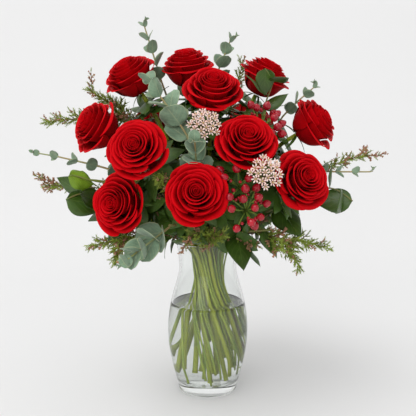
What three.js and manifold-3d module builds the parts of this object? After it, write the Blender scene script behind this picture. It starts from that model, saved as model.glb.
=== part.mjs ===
// Fourteen red roses with eucalyptus, heath, salal, hypericum, rice flower and ivy,
// arranged as a spiral bunch in a waisted glass vase of water.
// Millimetres, +Z up. The origin is the centre of the vase's foot, and -Y is the front of the arrangement.
import * as THREE from "three";
import { mergeVertices } from "three/addons/utils/BufferGeometryUtils.js";
import Module from "manifold-3d";

const wasm = await Module();
wasm.setup();

// ---------------------------------------------------------------- driving dimensions

const VASE_HEIGHT = 200;
const RIM_RADIUS = 42.5;
const NECK_RADIUS = 38.5;
const NECK_HEIGHT = 167;
const BELLY_RADIUS = 54;
const BELLY_HEIGHT = 81;
const FOOT_RADIUS = 38;
const WALL = 2.6;
const BASE_THICKNESS = 13;
const WATER_LEVEL = 118;

const BLOOM_DIAMETER = 66;
const BLOOM_HEIGHT = 46;
const ROSE_STEM_DIAMETER = 6;
const HIP_DIAMETER = 12;
const HIP_LENGTH = 12;

const SPRIG_STEM_DIAMETER = 3.2;
const EUCALYPTUS_LEAF = 20;
const SALAL_LEAF_LENGTH = 54;
const SALAL_LEAF_WIDTH = 33;
const IVY_LEAF = 34;
const LEAF_THICKNESS = 0.9;
const PLUME_DIAMETER = 17;
const BERRY_DIAMETER = 8.6;
const BERRY_STALK_LENGTH = 27;
const BERRY_STALK_DIAMETER = 1.6;
const RICE_HEAD_DIAMETER = 32;
const RICE_HEAD_DEPTH = 18;

const CLEARANCE = 0.4; // between pieces that touch in the real arrangement
const SLIVER = 0.12; // facets narrower than this are closed up where leaves join their stem
const STEM_GAP = 1.3; // kept between two stems while the bunch settles
const RIM_GAP = 1.6; // kept between a stem and the vase's wall and rim

// The bunch is gathered at the waist, below the vase's neck, and its stems turn about it as they rise.
const WAIST_HEIGHT = NECK_HEIGHT - 20;
const TWIST = 0.0113; // sideways travel of a stem for each millimetre up and each millimetre from the axis
const BUNCH_FILL = 0.52; // how much of the waist's circle the stems fill
const LINK = 20; // length of one link of a settling stem
const OVER_THE_RIM = 2; // links at the start of a stem that are always inside the vase
const SPRING = 0.3; // how much of its own shape a bent stem takes back at each pass

const VASE_SIDES = 28;
const BLOOM_SIDES = 10;

// Places are given for blooms of this diameter, and move apart with larger blooms.
const SPREAD = BLOOM_DIAMETER / 66;

// ---------------------------------------------------------------- what stands in the bunch
// Places are millimetres from the centre of the rim: x to the right, y to the back, z up.

const ROSES = [
  { at: [-95, -28, 211], faces: [-0.45, -0.5, 0.74] },
  { at: [-27, 2, 228], faces: [-0.12, -0.42, 0.9] },
  { at: [6, -66, 188], faces: [0.05, -0.7, 0.71] },
  { at: [72, -12, 213], faces: [0.42, -0.3, 0.86] },
  { at: [-134, -48, 148], faces: [-0.72, -0.55, 0.42] },
  { at: [-76, -113, 119], faces: [-0.15, -0.93, 0.32] },
  { at: [43, -107, 127], faces: [0.05, -0.85, 0.52] },
  { at: [129, -38, 152], faces: [0.75, -0.42, 0.5] },
  { at: [-98, -98, 58], faces: [-0.45, -0.87, 0.12] },
  { at: [-12, -123, 70], faces: [0, -0.96, 0.28] },
  { at: [106, -91, 85], faces: [0.35, -0.9, 0.3] },
  { at: [-76, 66, 158], faces: [-0.5, 0.6, 0.62] },
  { at: [62, 74, 160], faces: [0.45, 0.65, 0.6] },
  { at: [-8, 112, 88], faces: [-0.05, 0.95, 0.3] },
];

// A sprig is bare up to "from", and carries its leaves from there to "tip".
const EUCALYPTUS = [
  { from: [-58, 2, 215], tip: [-84, 2, 288], pairs: 5, size: 0.95 },
  { from: [10, 18, 215], tip: [32, 10, 271], pairs: 4, size: 1.05 },
  { from: [-112, -42, 92], tip: [-216, -40, 118], pairs: 5, size: 0.8 },
  { from: [118, -34, 92], tip: [210, -30, 94], pairs: 5, size: 0.75 },
  { from: [-54, -116, 50], tip: [-88, -134, 0], pairs: 5, size: 1.15 },
  { from: [-20, -96, 130], tip: [-68, -84, 200], pairs: 5, size: 1.2 },
  { from: [-13, -84, 96], tip: [-14, -122, 130], pairs: 4, size: 0.95 },
  { from: [104, 6, 172], tip: [144, 8, 208], pairs: 4, size: 0.85 },
  { from: [-60, 100, 92], tip: [-138, 128, 118], pairs: 5, size: 1 },
];

// A heath sprig ends in one plume at "tip", and its side plumes leave the stem lower down.
const HEATH = [
  { from: [-92, 8, 160], tip: [-152, -16, 198], side: [[-206, -14, 158]] },
  { from: [-110, -32, 58], tip: [-202, -30, 76], side: [[-194, -50, 38]] },
  { from: [-74, -52, 18], tip: [-140, -62, 4], side: [[-108, -88, -10]] },
  { from: [-40, -78, 68], tip: [-54, -120, 90], side: [] },
  { from: [0, -58, 18], tip: [14, -94, 20], side: [[-18, -92, 24]] },
  { from: [62, -56, 20], tip: [148, -52, 0], side: [[110, -72, -20], [78, -94, 0]] },
  { from: [112, -10, 62], tip: [206, -10, 116], side: [[180, -30, 30]] },
  { from: [30, 30, 176], tip: [48, 26, 240], side: [] },
  { from: [50, 92, 42], tip: [126, 110, 40], side: [[60, 136, 20], [-70, 130, 20]] },
];

// The last leaf of each hangs down by "droop" of its reach.
const SALAL = [
  { from: [84, -38, 48], tip: [126, -48, 66], faces: [0, -0.85, 0.5], leaves: 3, droop: 0.5 },
  { from: [34, -48, 18], tip: [78, -76, 26], faces: [0.2, -0.8, 0.55], leaves: 3, droop: 1.2 },
  { from: [-26, -56, 26], tip: [-44, -98, 34], faces: [-0.2, -0.85, 0.5], leaves: 3, droop: 2 },
  { from: [-80, -38, 36], tip: [-122, -52, 52], faces: [-0.1, -0.85, 0.5], leaves: 3, droop: 0 },
  { from: [66, -34, 130], tip: [68, -48, 168], faces: [0.1, -0.95, 0.2], leaves: 2, droop: 0 },
  { from: [2, 62, 14], tip: [14, 112, 26], faces: [0, 0.6, 0.8], leaves: 3, droop: 1 },
];

const HYPERICUM = [
  { from: [52, -52, 126], tip: [64, -68, 146], berries: 14 },
  { from: [40, -74, 44], tip: [44, -104, 52], berries: 12 },
  { from: [30, -70, 60], tip: [36, -98, 78], berries: 11 },
];

const RICE_FLOWER = [
  { from: [-4, -72, 128], tip: [-3, -110, 150] },
  { from: [54, -84, 76], tip: [62, -140, 96] },
];

const IVY = [{ from: [-98, -46, 76], tip: [-136, -64, 84], faces: [-0.3, -0.8, 0.5], leaves: 3, droop: 0 }];

// ---------------------------------------------------------------- materials

const finish = (color, roughness, extra = {}) =>
  new THREE.MeshStandardMaterial({ color, roughness, metalness: 0, ...extra });
const GLASS = finish(0xe8efee, 0.03, { transparent: true, opacity: 0.3 });
const WATER = finish(0xdfe8e2, 0.05, { transparent: true, opacity: 0.25 });
const PETAL = finish(0xb8000c, 0.55);
const ROSE_STEM = finish(0x5f8a26, 0.5);
const EUCALYPTUS_GREEN = finish(0x7f9c82, 0.6);
const HEATH_GREEN = finish(0x6d7a34, 0.8);
const SALAL_GREEN = finish(0x3c5a14, 0.4);
const BERRY_RED = finish(0xb0122c, 0.25);
const RICE_PINK = finish(0xeacfc4, 0.7);
const IVY_GREEN = finish(0x7fa01e, 0.5);

// ---------------------------------------------------------------- helpers

const vec = (a) => new THREE.Vector3(...a);
const rimPoint = (a) => vec(a).multiplyScalar(SPREAD).add(new THREE.Vector3(0, 0, VASE_HEIGHT));
const polar = (angle, radius) => new THREE.Vector2(Math.cos(angle), Math.sin(angle)).multiplyScalar(radius);

// A geometry as a solid: shared corners are merged and the triangles that collapse at a pole are dropped.
function solid(geometry, matrix = new THREE.Matrix4()) {
  const plain = new THREE.BufferGeometry();
  const source = geometry.index ? geometry.toNonIndexed() : geometry.clone();
  plain.setAttribute("position", source.getAttribute("position"));
  plain.applyMatrix4(matrix);
  const merged = mergeVertices(plain, 1e-3);
  const corners = merged.index.array;
  const kept = [];
  for (let i = 0; i < corners.length; i += 3) {
    const [a, b, c] = [corners[i], corners[i + 1], corners[i + 2]];
    if (a !== b && b !== c && c !== a) kept.push(a, b, c);
  }
  return new wasm.Manifold(
    new wasm.Mesh({
      numProp: 3,
      vertProperties: new Float32Array(merged.attributes.position.array),
      triVerts: new Uint32Array(kept),
    }),
  );
}

function geometryOf(manifold) {
  const mesh = manifold.getMesh();
  const geometry = new THREE.BufferGeometry();
  geometry.setAttribute("position", new THREE.BufferAttribute(mesh.vertProperties, 3));
  geometry.setIndex(new THREE.BufferAttribute(mesh.triVerts, 1));
  return geometry;
}

const joined = (solids) => solids.reduce((whole, one) => whole.add(one));

// A turned shape about +Z from [radius, height] pairs that run anticlockwise from the axis.
function turned(profile, sides) {
  const points = profile.map(([r, h]) => new THREE.Vector2(r, h));
  return new THREE.LatheGeometry(points, sides).rotateX(Math.PI / 2);
}

// A closed rod through a row of points, with a radius of its own at each:
// a cylinder whose rings are carried there.
function rod(points, radii, sides) {
  const rings = [];
  let side = new THREE.Vector3(1, 0, 0);
  points.forEach((point, i) => {
    const before = points[Math.max(0, i - 1)];
    const after = points[Math.min(points.length - 1, i + 1)];
    const along = after.clone().sub(before).normalize();
    side = side.clone().addScaledVector(along, -side.dot(along)).normalize();
    rings.push({ point, radius: radii[i], side, other: along.clone().cross(side) });
  });
  const geometry = new THREE.CylinderGeometry(1, 1, 1, sides, points.length - 1);
  const places = geometry.getAttribute("position");
  for (let i = 0; i < places.count; i++) {
    const ring = rings[Math.round((places.getY(i) + 0.5) * (points.length - 1))];
    const place = ring.point.clone().addScaledVector(ring.side, places.getX(i) * ring.radius);
    place.addScaledVector(ring.other, -places.getZ(i) * ring.radius);
    places.setXYZ(i, place.x, place.y, place.z);
  }
  return geometry;
}

// ---------------------------------------------------------------- the vase and its water

// The outside from foot to rim: three curves that meet upright at the belly and the neck.
function outsideProfile() {
  const swell = NECK_HEIGHT - BELLY_HEIGHT;
  const flare = VASE_HEIGHT - NECK_HEIGHT;
  const at = (r, z) => new THREE.Vector2(r, z);
  const lower = new THREE.CubicBezierCurve(
    at(FOOT_RADIUS + 1.6, 2.2),
    at(FOOT_RADIUS + 0.36 * (BELLY_RADIUS - FOOT_RADIUS), 0.24 * BELLY_HEIGHT),
    at(BELLY_RADIUS, 0.6 * BELLY_HEIGHT),
    at(BELLY_RADIUS, BELLY_HEIGHT),
  );
  const upper = new THREE.CubicBezierCurve(
    at(BELLY_RADIUS, BELLY_HEIGHT),
    at(BELLY_RADIUS, BELLY_HEIGHT + 0.52 * swell),
    at(NECK_RADIUS, NECK_HEIGHT - 0.22 * swell),
    at(NECK_RADIUS, NECK_HEIGHT),
  );
  const throat = new THREE.CubicBezierCurve(
    at(NECK_RADIUS, NECK_HEIGHT),
    at(NECK_RADIUS, NECK_HEIGHT + 0.35 * flare),
    at(NECK_RADIUS + 0.45 * (RIM_RADIUS - NECK_RADIUS), NECK_HEIGHT + 0.75 * flare),
    at(RIM_RADIUS, VASE_HEIGHT - WALL / 2),
  );
  return [...lower.getPoints(4), ...upper.getPoints(5).slice(1), ...throat.getPoints(3).slice(1)];
}

const OUTSIDE = outsideProfile();

function innerRadius(height) {
  const above = Math.max(1, OUTSIDE.findIndex((p) => p.y >= height));
  const [low, high] = [OUTSIDE[above - 1], OUTSIDE[above]];
  const share = THREE.MathUtils.clamp((height - low.y) / (high.y - low.y), 0, 1);
  return low.x + (high.x - low.x) * share - WALL;
}

// The inside from the floor's centre up the wall, shrunk by gap, as far as top.
function insideProfile(gap, top) {
  const floor = BASE_THICKNESS + gap;
  const corner = 6;
  const between = OUTSIDE.filter((p) => p.y > floor + corner && p.y < top - 1);
  const wall = between.map((p) => [p.x - WALL - gap, p.y]);
  return [
    [0, floor],
    [innerRadius(floor) - corner - gap, floor],
    [innerRadius(floor + corner / 3) - 0.3 * corner - gap, floor + 0.3 * corner],
    [innerRadius(floor + corner) - gap, floor + corner],
    ...wall,
    [innerRadius(top) - gap, top],
  ];
}

function vase() {
  const outside = OUTSIDE.map((p) => [p.x, p.y]);
  const lip = [RIM_RADIUS - WALL / 2, VASE_HEIGHT];
  const inside = insideProfile(0, VASE_HEIGHT - WALL / 2).reverse();
  return turned([[0, 0], [FOOT_RADIUS, 0], ...outside, lip, ...inside], VASE_SIDES);
}

// The water is cut round every stem that stands in it.
function water(stems) {
  const body = solid(turned([...insideProfile(CLEARANCE, WATER_LEVEL), [0, WATER_LEVEL]], VASE_SIDES));
  return stems.reduce((rest, stem) => rest.subtract(stem.wet()), body);
}

// ---------------------------------------------------------------- the bunch

// One stem: where it goes after the waist, how thick it is, and how high it is cut at the least.
class Stem {
  constructor(name, diameter, through, index) {
    this.name = name;
    this.radius = diameter / 2;
    this.through = through;
    this.cut = BASE_THICKNESS + 4 + ((index * 3) % 7) * (diameter > 4 ? 3.5 : 8);
    const towards = through[through.length - 1].clone().sub(new THREE.Vector3(0, 0, VASE_HEIGHT - 40));
    this.azimuth = Math.atan2(towards.y, towards.x);
    this.lean = Math.acos(towards.z / towards.length());
  }

  // The straight lower part, at a height: every stem turns about the bunch's axis in step, so none meet.
  straight(height) {
    const rise = (height - WAIST_HEIGHT) * TWIST;
    const { x, y } = this.waist;
    return new THREE.Vector3(x + rise * y, y - rise * x, height);
  }

  // The stem's room in the water.
  wet() {
    const room = (this.radius + 0.8 * CLEARANCE) / Math.cos(Math.PI / 6);
    const ends = [this.straight(this.cut - CLEARANCE), this.straight(WATER_LEVEL + 5)];
    return solid(rod(ends, [room, room], 6));
  }

  // A stem that leans far out is cut shorter, where its end still clears the wall.
  trim() {
    const room = () => innerRadius(this.cut) - this.radius * 1.1 - RIM_GAP - CLEARANCE;
    const out = () => Math.hypot(this.straight(this.cut).x, this.straight(this.cut).y);
    while (out() > room() && this.cut < WAIST_HEIGHT) this.cut += 1;
  }
}

// Where each stem crosses the waist: on the side of the bunch its head leans to,
// then pushed apart until all fit.
function gather(stems) {
  const area = stems.reduce((sum, s) => sum + (s.radius + CLEARANCE) ** 2, 0);
  const bunch = Math.sqrt(area / BUNCH_FILL);
  const turn = 0.6;
  for (const s of stems) s.waist = polar(s.azimuth + turn, bunch * Math.min(1, s.lean / 1.35) * 0.96);
  for (let pass = 0; pass < 400; pass++) {
    stems.forEach((a, i) =>
      stems.slice(i + 1).forEach((b) => {
        const apart = b.waist.clone().sub(a.waist);
        const short = (a.radius + b.radius + CLEARANCE * 2) * 1.03 - apart.length();
        if (short <= 0) return;
        apart.setLength(short / 2);
        a.waist.sub(apart);
        b.waist.add(apart);
      }),
    );
    for (const s of stems) s.waist.clampLength(0, bunch - s.radius);
  }
  for (const s of stems) s.trim();
}

// The closest points of segments a-b and c-d, as the share along each and the gap between them.
function closest(a, b, c, d) {
  const u = b.clone().sub(a);
  const v = d.clone().sub(c);
  const w = a.clone().sub(c);
  const [uu, uv, vv, uw, vw] = [u.dot(u), u.dot(v), v.dot(v), u.dot(w), v.dot(w)];
  const cross = uu * vv - uv * uv;
  const clamp = (x) => Math.min(1, Math.max(0, x));
  let s = cross > 1e-9 ? clamp((uv * vw - vv * uw) / cross) : 0;
  const t = clamp((uv * s + vw) / vv);
  s = clamp((uv * t - uw) / uu);
  const gap = a.clone().addScaledVector(u, s).sub(c.clone().addScaledVector(v, t));
  return { s, t, gap };
}

// Moves a link's two ends by a push shared between them, where they are free to move.
function nudge(chain, i, share, push) {
  if (!chain.fixed(i)) chain.points[i].addScaledVector(push, 1 - share);
  if (!chain.fixed(i + 1)) chain.points[i + 1].addScaledVector(push, share);
}

// Lets the upper stems push each other, the blooms and the vase's wall aside, as springy stems do.
function settle(chains, blooms, passes) {
  for (let pass = 0; pass < passes; pass++) {
    for (const c of chains) c.box = new THREE.Box3().setFromPoints(c.points).expandByScalar(c.widest);
    chains.forEach((a, m) =>
      chains.slice(m + 1).forEach((b) => {
        if ((a.still && b.still) || a.joins === b || b.joins === a || !a.box.intersectsBox(b.box)) return;
        for (let i = 0; i < a.points.length - 1; i++)
          for (let j = 0; j < b.points.length - 1; j++) {
            const reach = a.radiusAt(i) + b.radiusAt(j) + STEM_GAP;
            if (a.points[i].distanceTo(b.points[j]) > reach + LINK * 2.2) continue;
            const near = closest(a.points[i], a.points[i + 1], b.points[j], b.points[j + 1]);
            const short = reach - near.gap.length();
            if (short <= 0) continue;
            const push = near.gap.setLength(short * 0.5);
            nudge(a, i, near.s, push);
            nudge(b, j, near.t, push.clone().negate());
          }
      }),
    );
    for (const chain of chains.filter((c) => !c.still)) {
      keepClear(chain, blooms);
      liftOverRim(chain);
    }
  }
}

// A link that crosses the rim is raised until it clears it.
function liftOverRim(chain) {
  const rim = RIM_RADIUS - WALL / 2;
  for (let i = 0; i < chain.points.length - 1; i++) {
    const inner = Math.hypot(chain.points[i].x, chain.points[i].y);
    const outer = Math.hypot(chain.points[i + 1].x, chain.points[i + 1].y);
    if (inner > rim || outer < rim) continue;
    const share = (rim - inner) / (outer - inner);
    const height = THREE.MathUtils.lerp(chain.points[i].z, chain.points[i + 1].z, share);
    const short = VASE_HEIGHT + chain.radiusAt(i) * 1.3 + WALL - height;
    if (short > 0) nudge(chain, i, share, new THREE.Vector3(0, 0, short));
  }
}

function keepClear(chain, blooms) {
  chain.points.forEach((p, i) => {
    if (chain.fixed(i)) return;
    const before = chain.points[i - 1];
    const after = chain.points[i + 1];
    if (before && after) p.lerp(before.clone().add(after).multiplyScalar(0.5).add(chain.bends[i]), SPRING);
    for (const bloom of blooms) {
      if (bloom.stem === chain.stem) continue;
      const away = p.clone().sub(bloom.middle);
      const short = BLOOM_DIAMETER * 0.52 + chain.radiusAt(i) + STEM_GAP - away.length();
      if (short > 0) p.addScaledVector(away.normalize(), short);
    }
    const above = Math.max(0, p.z - VASE_HEIGHT - chain.radiusAt(i));
    const room = innerRadius(Math.min(p.z, VASE_HEIGHT - WALL)) - chain.radiusAt(i) - RIM_GAP + above * 1.4;
    const out = Math.hypot(p.x, p.y);
    const mayPass = chain.outside || i > OVER_THE_RIM;
    const past = mayPass && p.z < VASE_HEIGHT + 30 && out > RIM_RADIUS + chain.radiusAt(i) + RIM_GAP;
    if (out > room && !past) {
      p.x *= room / out;
      p.y *= room / out;
    }
  });
}

// The part of a stem that can bend, as links of equal length.
class Chain {
  constructor(stem, curve, options = {}) {
    this.stem = stem;
    this.points = curve.getSpacedPoints(Math.max(4, Math.round(curve.getLength() / LINK)));
    this.bends = this.points.map((_, i) => this.bendAt(i));
    this.heldEnd = options.heldEnd ?? 0;
    this.heldStart = options.heldStart ?? 2;
    this.joins = options.joins;
    this.outside = options.outside;
    this.thickness = options.thickness ?? (() => stem.radius);
    this.widest = Math.max(...this.points.map((_, i) => this.radiusAt(i))) + STEM_GAP;
  }

  // How far the stem's own shape stands off the straight line between its neighbours.
  bendAt(i) {
    const [before, point, after] = [this.points[i - 1], this.points[i], this.points[i + 1]];
    if (!before || !after) return new THREE.Vector3();
    return point.clone().sub(before.clone().add(after).multiplyScalar(0.5));
  }

  radiusAt(i) {
    return this.thickness(i / (this.points.length - 1));
  }

  fixed(i) {
    return this.still || i < this.heldStart || i >= this.points.length - this.heldEnd;
  }

  radii(grow = 0) {
    return this.points.map((_, i) => this.radiusAt(i) + grow);
  }
}

// From the waist through the stem's own points, leaving the waist on the line of the straight part.
function upperCurve(stem, ends) {
  const waist = stem.straight(WAIST_HEIGHT);
  const above = stem.straight(WAIST_HEIGHT + 24);
  const [first] = ends;
  const reach = first.distanceTo(above);
  const lift = above.clone().add(above.clone().sub(waist).setLength(reach * 0.4));
  const bend = new THREE.CubicBezierCurve3(above, lift, first.clone().lerp(lift, 0.3), first);
  return new THREE.CatmullRomCurve3([waist, ...bend.getPoints(5), ...ends.slice(1)], false, "centripetal");
}

// ---------------------------------------------------------------- blooms

// A bloom's turned outline, as shares of its radius and height:
// the cup, the rolled rim and the rings of petals.
const BLOOM_OUTLINE = [
  [0, 0],
  [0.2, 0],
  [0.68, 0.15],
  [0.97, 0.5],
  [1.0, 0.8],
  [0.86, 0.89],
  [0.68, 0.8],
  [0.56, 0.95],
  [0.36, 0.86],
  [0.24, 1],
  [0, 0.95],
];

function bloomGeometry() {
  const radius = BLOOM_DIAMETER / 2;
  const geometry = turned(
    BLOOM_OUTLINE.map(([r, h]) => [r * radius, h * BLOOM_HEIGHT]),
    BLOOM_SIDES,
  );
  const places = geometry.getAttribute("position");
  for (let i = 0; i < places.count; i++) {
    const [x, y, z] = [places.getX(i), places.getY(i), places.getZ(i)];
    const lobe = 1 - 0.06 * (z / BLOOM_HEIGHT) * (1 + Math.cos(5 * Math.atan2(y, x) + z / 5));
    places.setXY(i, x * lobe, y * lobe);
  }
  return geometry;
}

// Turns +Z to a direction and stands on a place.
function standing(place, direction) {
  const turn = new THREE.Quaternion().setFromUnitVectors(new THREE.Vector3(0, 0, 1), direction);
  return new THREE.Matrix4().compose(place, turn, new THREE.Vector3(1, 1, 1));
}

// ---------------------------------------------------------------- leaves, plumes and berries

// Half a leaf's width, as a share of its full half width, at a share of its length.
const ROUND = (s) => Math.sqrt(Math.max(0, 1 - (2 * s - 1) ** 2));
const POINTED = (s) => Math.sin(Math.PI * s ** 0.8) ** 0.85 * (1 - 0.15 * s);
const LOBED = (s) => Math.sin(Math.PI * s ** 0.6) ** 0.7 * (1 - 0.45 * s);

// A flat leaf from its base along a direction, with its upper face along up.
function leafPlate({ base, along, up, length, width, half, points }, grow = 0) {
  const side = up.clone().cross(along).normalize();
  const face = along.clone().cross(side).normalize();
  const edge = (sign) =>
    Array.from({ length: points - 1 }, (_, i) => (i + 1) / points).map(
      (s) => new THREE.Vector2(s * length, sign * ((half(s) * width) / 2 + grow)),
    );
  const outline = new THREE.Shape([
    new THREE.Vector2(0, 0),
    ...edge(-1),
    new THREE.Vector2(length + grow, 0),
    ...edge(1).reverse(),
  ]);
  const depth = LEAF_THICKNESS + 2 * grow;
  const plate = new THREE.ExtrudeGeometry(outline, { depth, bevelEnabled: false });
  plate.translate(0, 0, -depth / 2);
  return solid(plate, new THREE.Matrix4().makeBasis(along, side, face).setPosition(base));
}

// Everything already standing in the bunch, so that a leaf or a berry is left off where it would not fit.
const placed = [];
const stand = (name, made) => placed.push({ name, made, box: boxOf(made) });

function boxOf(made) {
  const { min, max } = made.boundingBox();
  return new THREE.Box3(vec(min), vec(max));
}

function fits(name, grown) {
  const box = boxOf(grown);
  const near = placed.filter((other) => other.name !== name && other.box.intersectsBox(box));
  return near.every((other) => grown.intersect(other.made).isEmpty());
}

// The leaves of a sprig that fit where they grow.
const leavesThatFit = (name, leaves) =>
  leaves.filter((leaf) => fits(name, leafPlate(leaf, CLEARANCE))).map((leaf) => leafPlate(leaf));

// Opposite round leaves, each pair a quarter turn on from the last, smaller towards the tip.
function eucalyptusLeaves(sprig, curve, start) {
  const leaves = [];
  const outward = new THREE.Vector3(sprig.tip[0], sprig.tip[1], 0.5 * sprig.tip[2]).normalize();
  for (let k = 0; k < sprig.pairs; k++) {
    const share = k / (sprig.pairs - 1);
    const at = start + (0.98 - start) * share;
    const base = curve.getPointAt(at);
    const tangent = curve.getTangentAt(at);
    const size = EUCALYPTUS_LEAF * sprig.size * (1 - 0.45 * share ** 1.5);
    const across = tangent.clone().cross(outward).normalize();
    across.applyAxisAngle(tangent, (k % 2) * 1.25 + 0.25 * k);
    for (const sign of [1, -1]) {
      const spread = 0.95 - 0.3 * share;
      const along = across.clone().multiplyScalar(sign * Math.sin(spread));
      along.addScaledVector(tangent, Math.cos(spread)).addScaledVector(outward, 0.2).normalize();
      const up = tangent.clone().multiplyScalar(0.8).addScaledVector(outward, 0.7);
      const width = size * (0.9 - 0.2 * ((k + (sign > 0 ? 1 : 0)) % 2));
      leaves.push({ base, along, up, length: size, width, half: ROUND, points: 3 });
    }
  }
  return leaves;
}

// Broad leaves set one by one on alternate sides, and one at the tip.
function alternateLeaves(sprig, curve, start, length, width, half) {
  const leaves = [];
  const up = vec(sprig.faces).normalize();
  for (let k = 0; k < sprig.leaves; k++) {
    const last = k === sprig.leaves - 1;
    const at = last ? 0.99 : start + (0.97 - start) * (k / sprig.leaves);
    const base = curve.getPointAt(at);
    const tangent = curve.getTangentAt(at);
    const across = tangent.clone().cross(up).normalize();
    const along = tangent.clone();
    if (!last) along.addScaledVector(across, k % 2 ? -1.6 : 1.6);
    along.z -= last ? sprig.droop : 0.4 * sprig.droop;
    along.addScaledVector(up, last ? 0.05 : 0.1).normalize();
    leaves.push({ base, along, up, length, width, half, points: 5 });
  }
  return leaves;
}

// How thick a plume is along a share of it: bare stem, full foliage, then a fine tip.
function plumeRadius(share) {
  const bare = SPRIG_STEM_DIAMETER / 2;
  const full = PLUME_DIAMETER / 2;
  if (share <= 0) return bare;
  return Math.max(0.8, bare * (1 - share) + full * Math.sin(Math.PI * Math.min(1, share) ** 0.75) ** 0.6);
}

// A flat-topped spray of berries, each on its own stalk.
function berrySpray(name, sprig, curve) {
  const top = curve.getPointAt(1);
  const frame = standing(top, curve.getTangentAt(1));
  const made = [];
  for (let k = 0; k < sprig.berries; k++) {
    const spread = 1.25 * Math.sqrt((k + 0.5) / sprig.berries);
    const reach = BERRY_STALK_LENGTH * (0.8 + 0.2 * ((k * 7) % 5) * 0.5);
    const flat = polar(k * 2.4, Math.sin(spread));
    const out = new THREE.Vector3(flat.x, flat.y, Math.cos(spread)).transformDirection(frame);
    const centre = top.clone().addScaledVector(out, reach);
    const thin = BERRY_STALK_DIAMETER / 2;
    const stalk = (extra) => solid(rod([top, centre], [thin + extra, thin + extra], 4));
    const berry = (extra) =>
      solid(new THREE.IcosahedronGeometry(BERRY_DIAMETER / 2 + extra, 0), standing(centre, out));
    const own = made.every((other) => other.intersect(berry(CLEARANCE)).isEmpty());
    if (!own || !fits(name, berry(CLEARANCE)) || !fits(name, stalk(CLEARANCE))) continue;
    made.push(stalk(0).add(berry(0)));
  }
  return made;
}

// ---------------------------------------------------------------- assembly

const group = new THREE.Group();

function show(name, geometry, material) {
  const mesh = new THREE.Mesh(geometry, material);
  mesh.name = name;
  group.add(mesh);
}

const numbered = (kind, i) => `${kind}_${String(i + 1).padStart(2, "0")}`;

// Every stem with the points it passes through: its head, or where its leaves begin and end.
const roses = ROSES.map((rose, i) => {
  const faces = vec(rose.faces).normalize();
  const middle = rimPoint(rose.at);
  const base = middle.clone().addScaledVector(faces, -BLOOM_HEIGHT / 2);
  const end = base.clone().addScaledVector(faces, -CLEARANCE);
  const neck = end.clone().addScaledVector(faces, -HIP_LENGTH * 2.2);
  const stem = new Stem(numbered("rose_stem", i), ROSE_STEM_DIAMETER, [neck, end], i);
  return { name: numbered("rose_bloom", i), faces, middle, base, stem };
});

function sprigStem(kind) {
  return (sprig, i) => {
    const name = numbered(kind, i);
    const through = [rimPoint(sprig.from), rimPoint(sprig.tip)];
    return { sprig, name, stem: new Stem(name, SPRIG_STEM_DIAMETER, through, i * 5 + 2) };
  };
}

const eucalyptus = EUCALYPTUS.map(sprigStem("eucalyptus"));
const heath = HEATH.map(sprigStem("heath"));
const salal = SALAL.map(sprigStem("salal"));
const hypericum = HYPERICUM.map(sprigStem("hypericum"));
const riceFlower = RICE_FLOWER.map(sprigStem("rice_flower"));
const ivy = IVY.map(sprigStem("ivy"));
const sprigs = [...eucalyptus, ...heath, ...salal, ...hypericum, ...riceFlower, ...ivy];
const stems = [...roses, ...sprigs].map((one) => one.stem);
gather(stems);

// The thickness of a sprig along its bending part: its heath plume or rice head, or just its stem.
function headThickness(one, curve) {
  const start = 1 - one.stem.through[0].distanceTo(one.stem.through[1]) / curve.getLength();
  if (heath.includes(one)) return (share) => plumeRadius((share - start) / (1 - start));
  if (riceFlower.includes(one)) return riceRadius(curve.getLength());
  return undefined;
}

// A rice flower's room while it settles.
function riceRadius(length) {
  const head = RICE_HEAD_DEPTH / length;
  return (share) => (share < 1 - head ? SPRIG_STEM_DIAMETER / 2 : RICE_HEAD_DIAMETER * 0.42);
}

for (const rose of roses) {
  rose.chain = new Chain(rose.stem, upperCurve(rose.stem, rose.stem.through), { heldEnd: 4 });
}
for (const one of sprigs) {
  const curve = upperCurve(one.stem, one.stem.through);
  one.chain = new Chain(one.stem, curve, { thickness: headThickness(one, curve), heldEnd: 1 });
}
const mains = [...roses, ...sprigs].map((one) => one.chain);
settle(mains, roses, 150);
for (const chain of mains) chain.still = true;

// Side plumes leave the main stem below its own plume.
for (const one of heath) {
  one.branches = one.sprig.side.map((tip) => {
    const points = one.chain.points;
    const towards = rimPoint(tip);
    const leafy = rimPoint(one.sprig.from);
    const gaps = points.map((p) => p.distanceTo(leafy));
    const nearest = gaps.indexOf(Math.min(...gaps));
    const fork = Math.min(nearest, points.length - 3);
    const lead = points[fork].clone().lerp(points[fork + 1], 1.5);
    const bend = new THREE.QuadraticBezierCurve3(points[fork], lead.lerp(towards, 0.25), towards);
    const options = { heldStart: 1, joins: one.chain, thickness: plumeRadius, outside: true };
    return new Chain(one.stem, bend, options);
  });
}
settle([...mains, ...heath.flatMap((one) => one.branches)], roses, 80);

// The whole stem: straight from the cut to the waist, then as it settled.
function sprigRod(stem, chain) {
  return solid(rod([stem.straight(stem.cut), ...chain.points], [stem.radius, ...chain.radii()], 5));
}

// The same stem with a head on its end, given as [share of the head's depth below its top, radius] pairs.
function headedRod(stem, chain, depth, rings, sides) {
  const { points } = chain;
  const [last, end] = points.slice(-2);
  const down = last.clone().sub(end).normalize();
  const below = points.filter((p) => p.clone().sub(end).dot(down) > depth * 1.15);
  const head = rings.map(([share]) => end.clone().addScaledVector(down, share * depth));
  const row = [stem.straight(stem.cut), ...below, ...head];
  const radii = [stem.radius, ...below.map(() => stem.radius), ...rings.map((ring) => ring[1])];
  return rod(row, radii, sides);
}

// A rose's stem swells into the hip that its bloom sits on.
const HIP_RINGS = [
  [1, ROSE_STEM_DIAMETER / 2],
  [0.5, HIP_DIAMETER * 0.43],
  [0, HIP_DIAMETER / 2],
];
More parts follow.
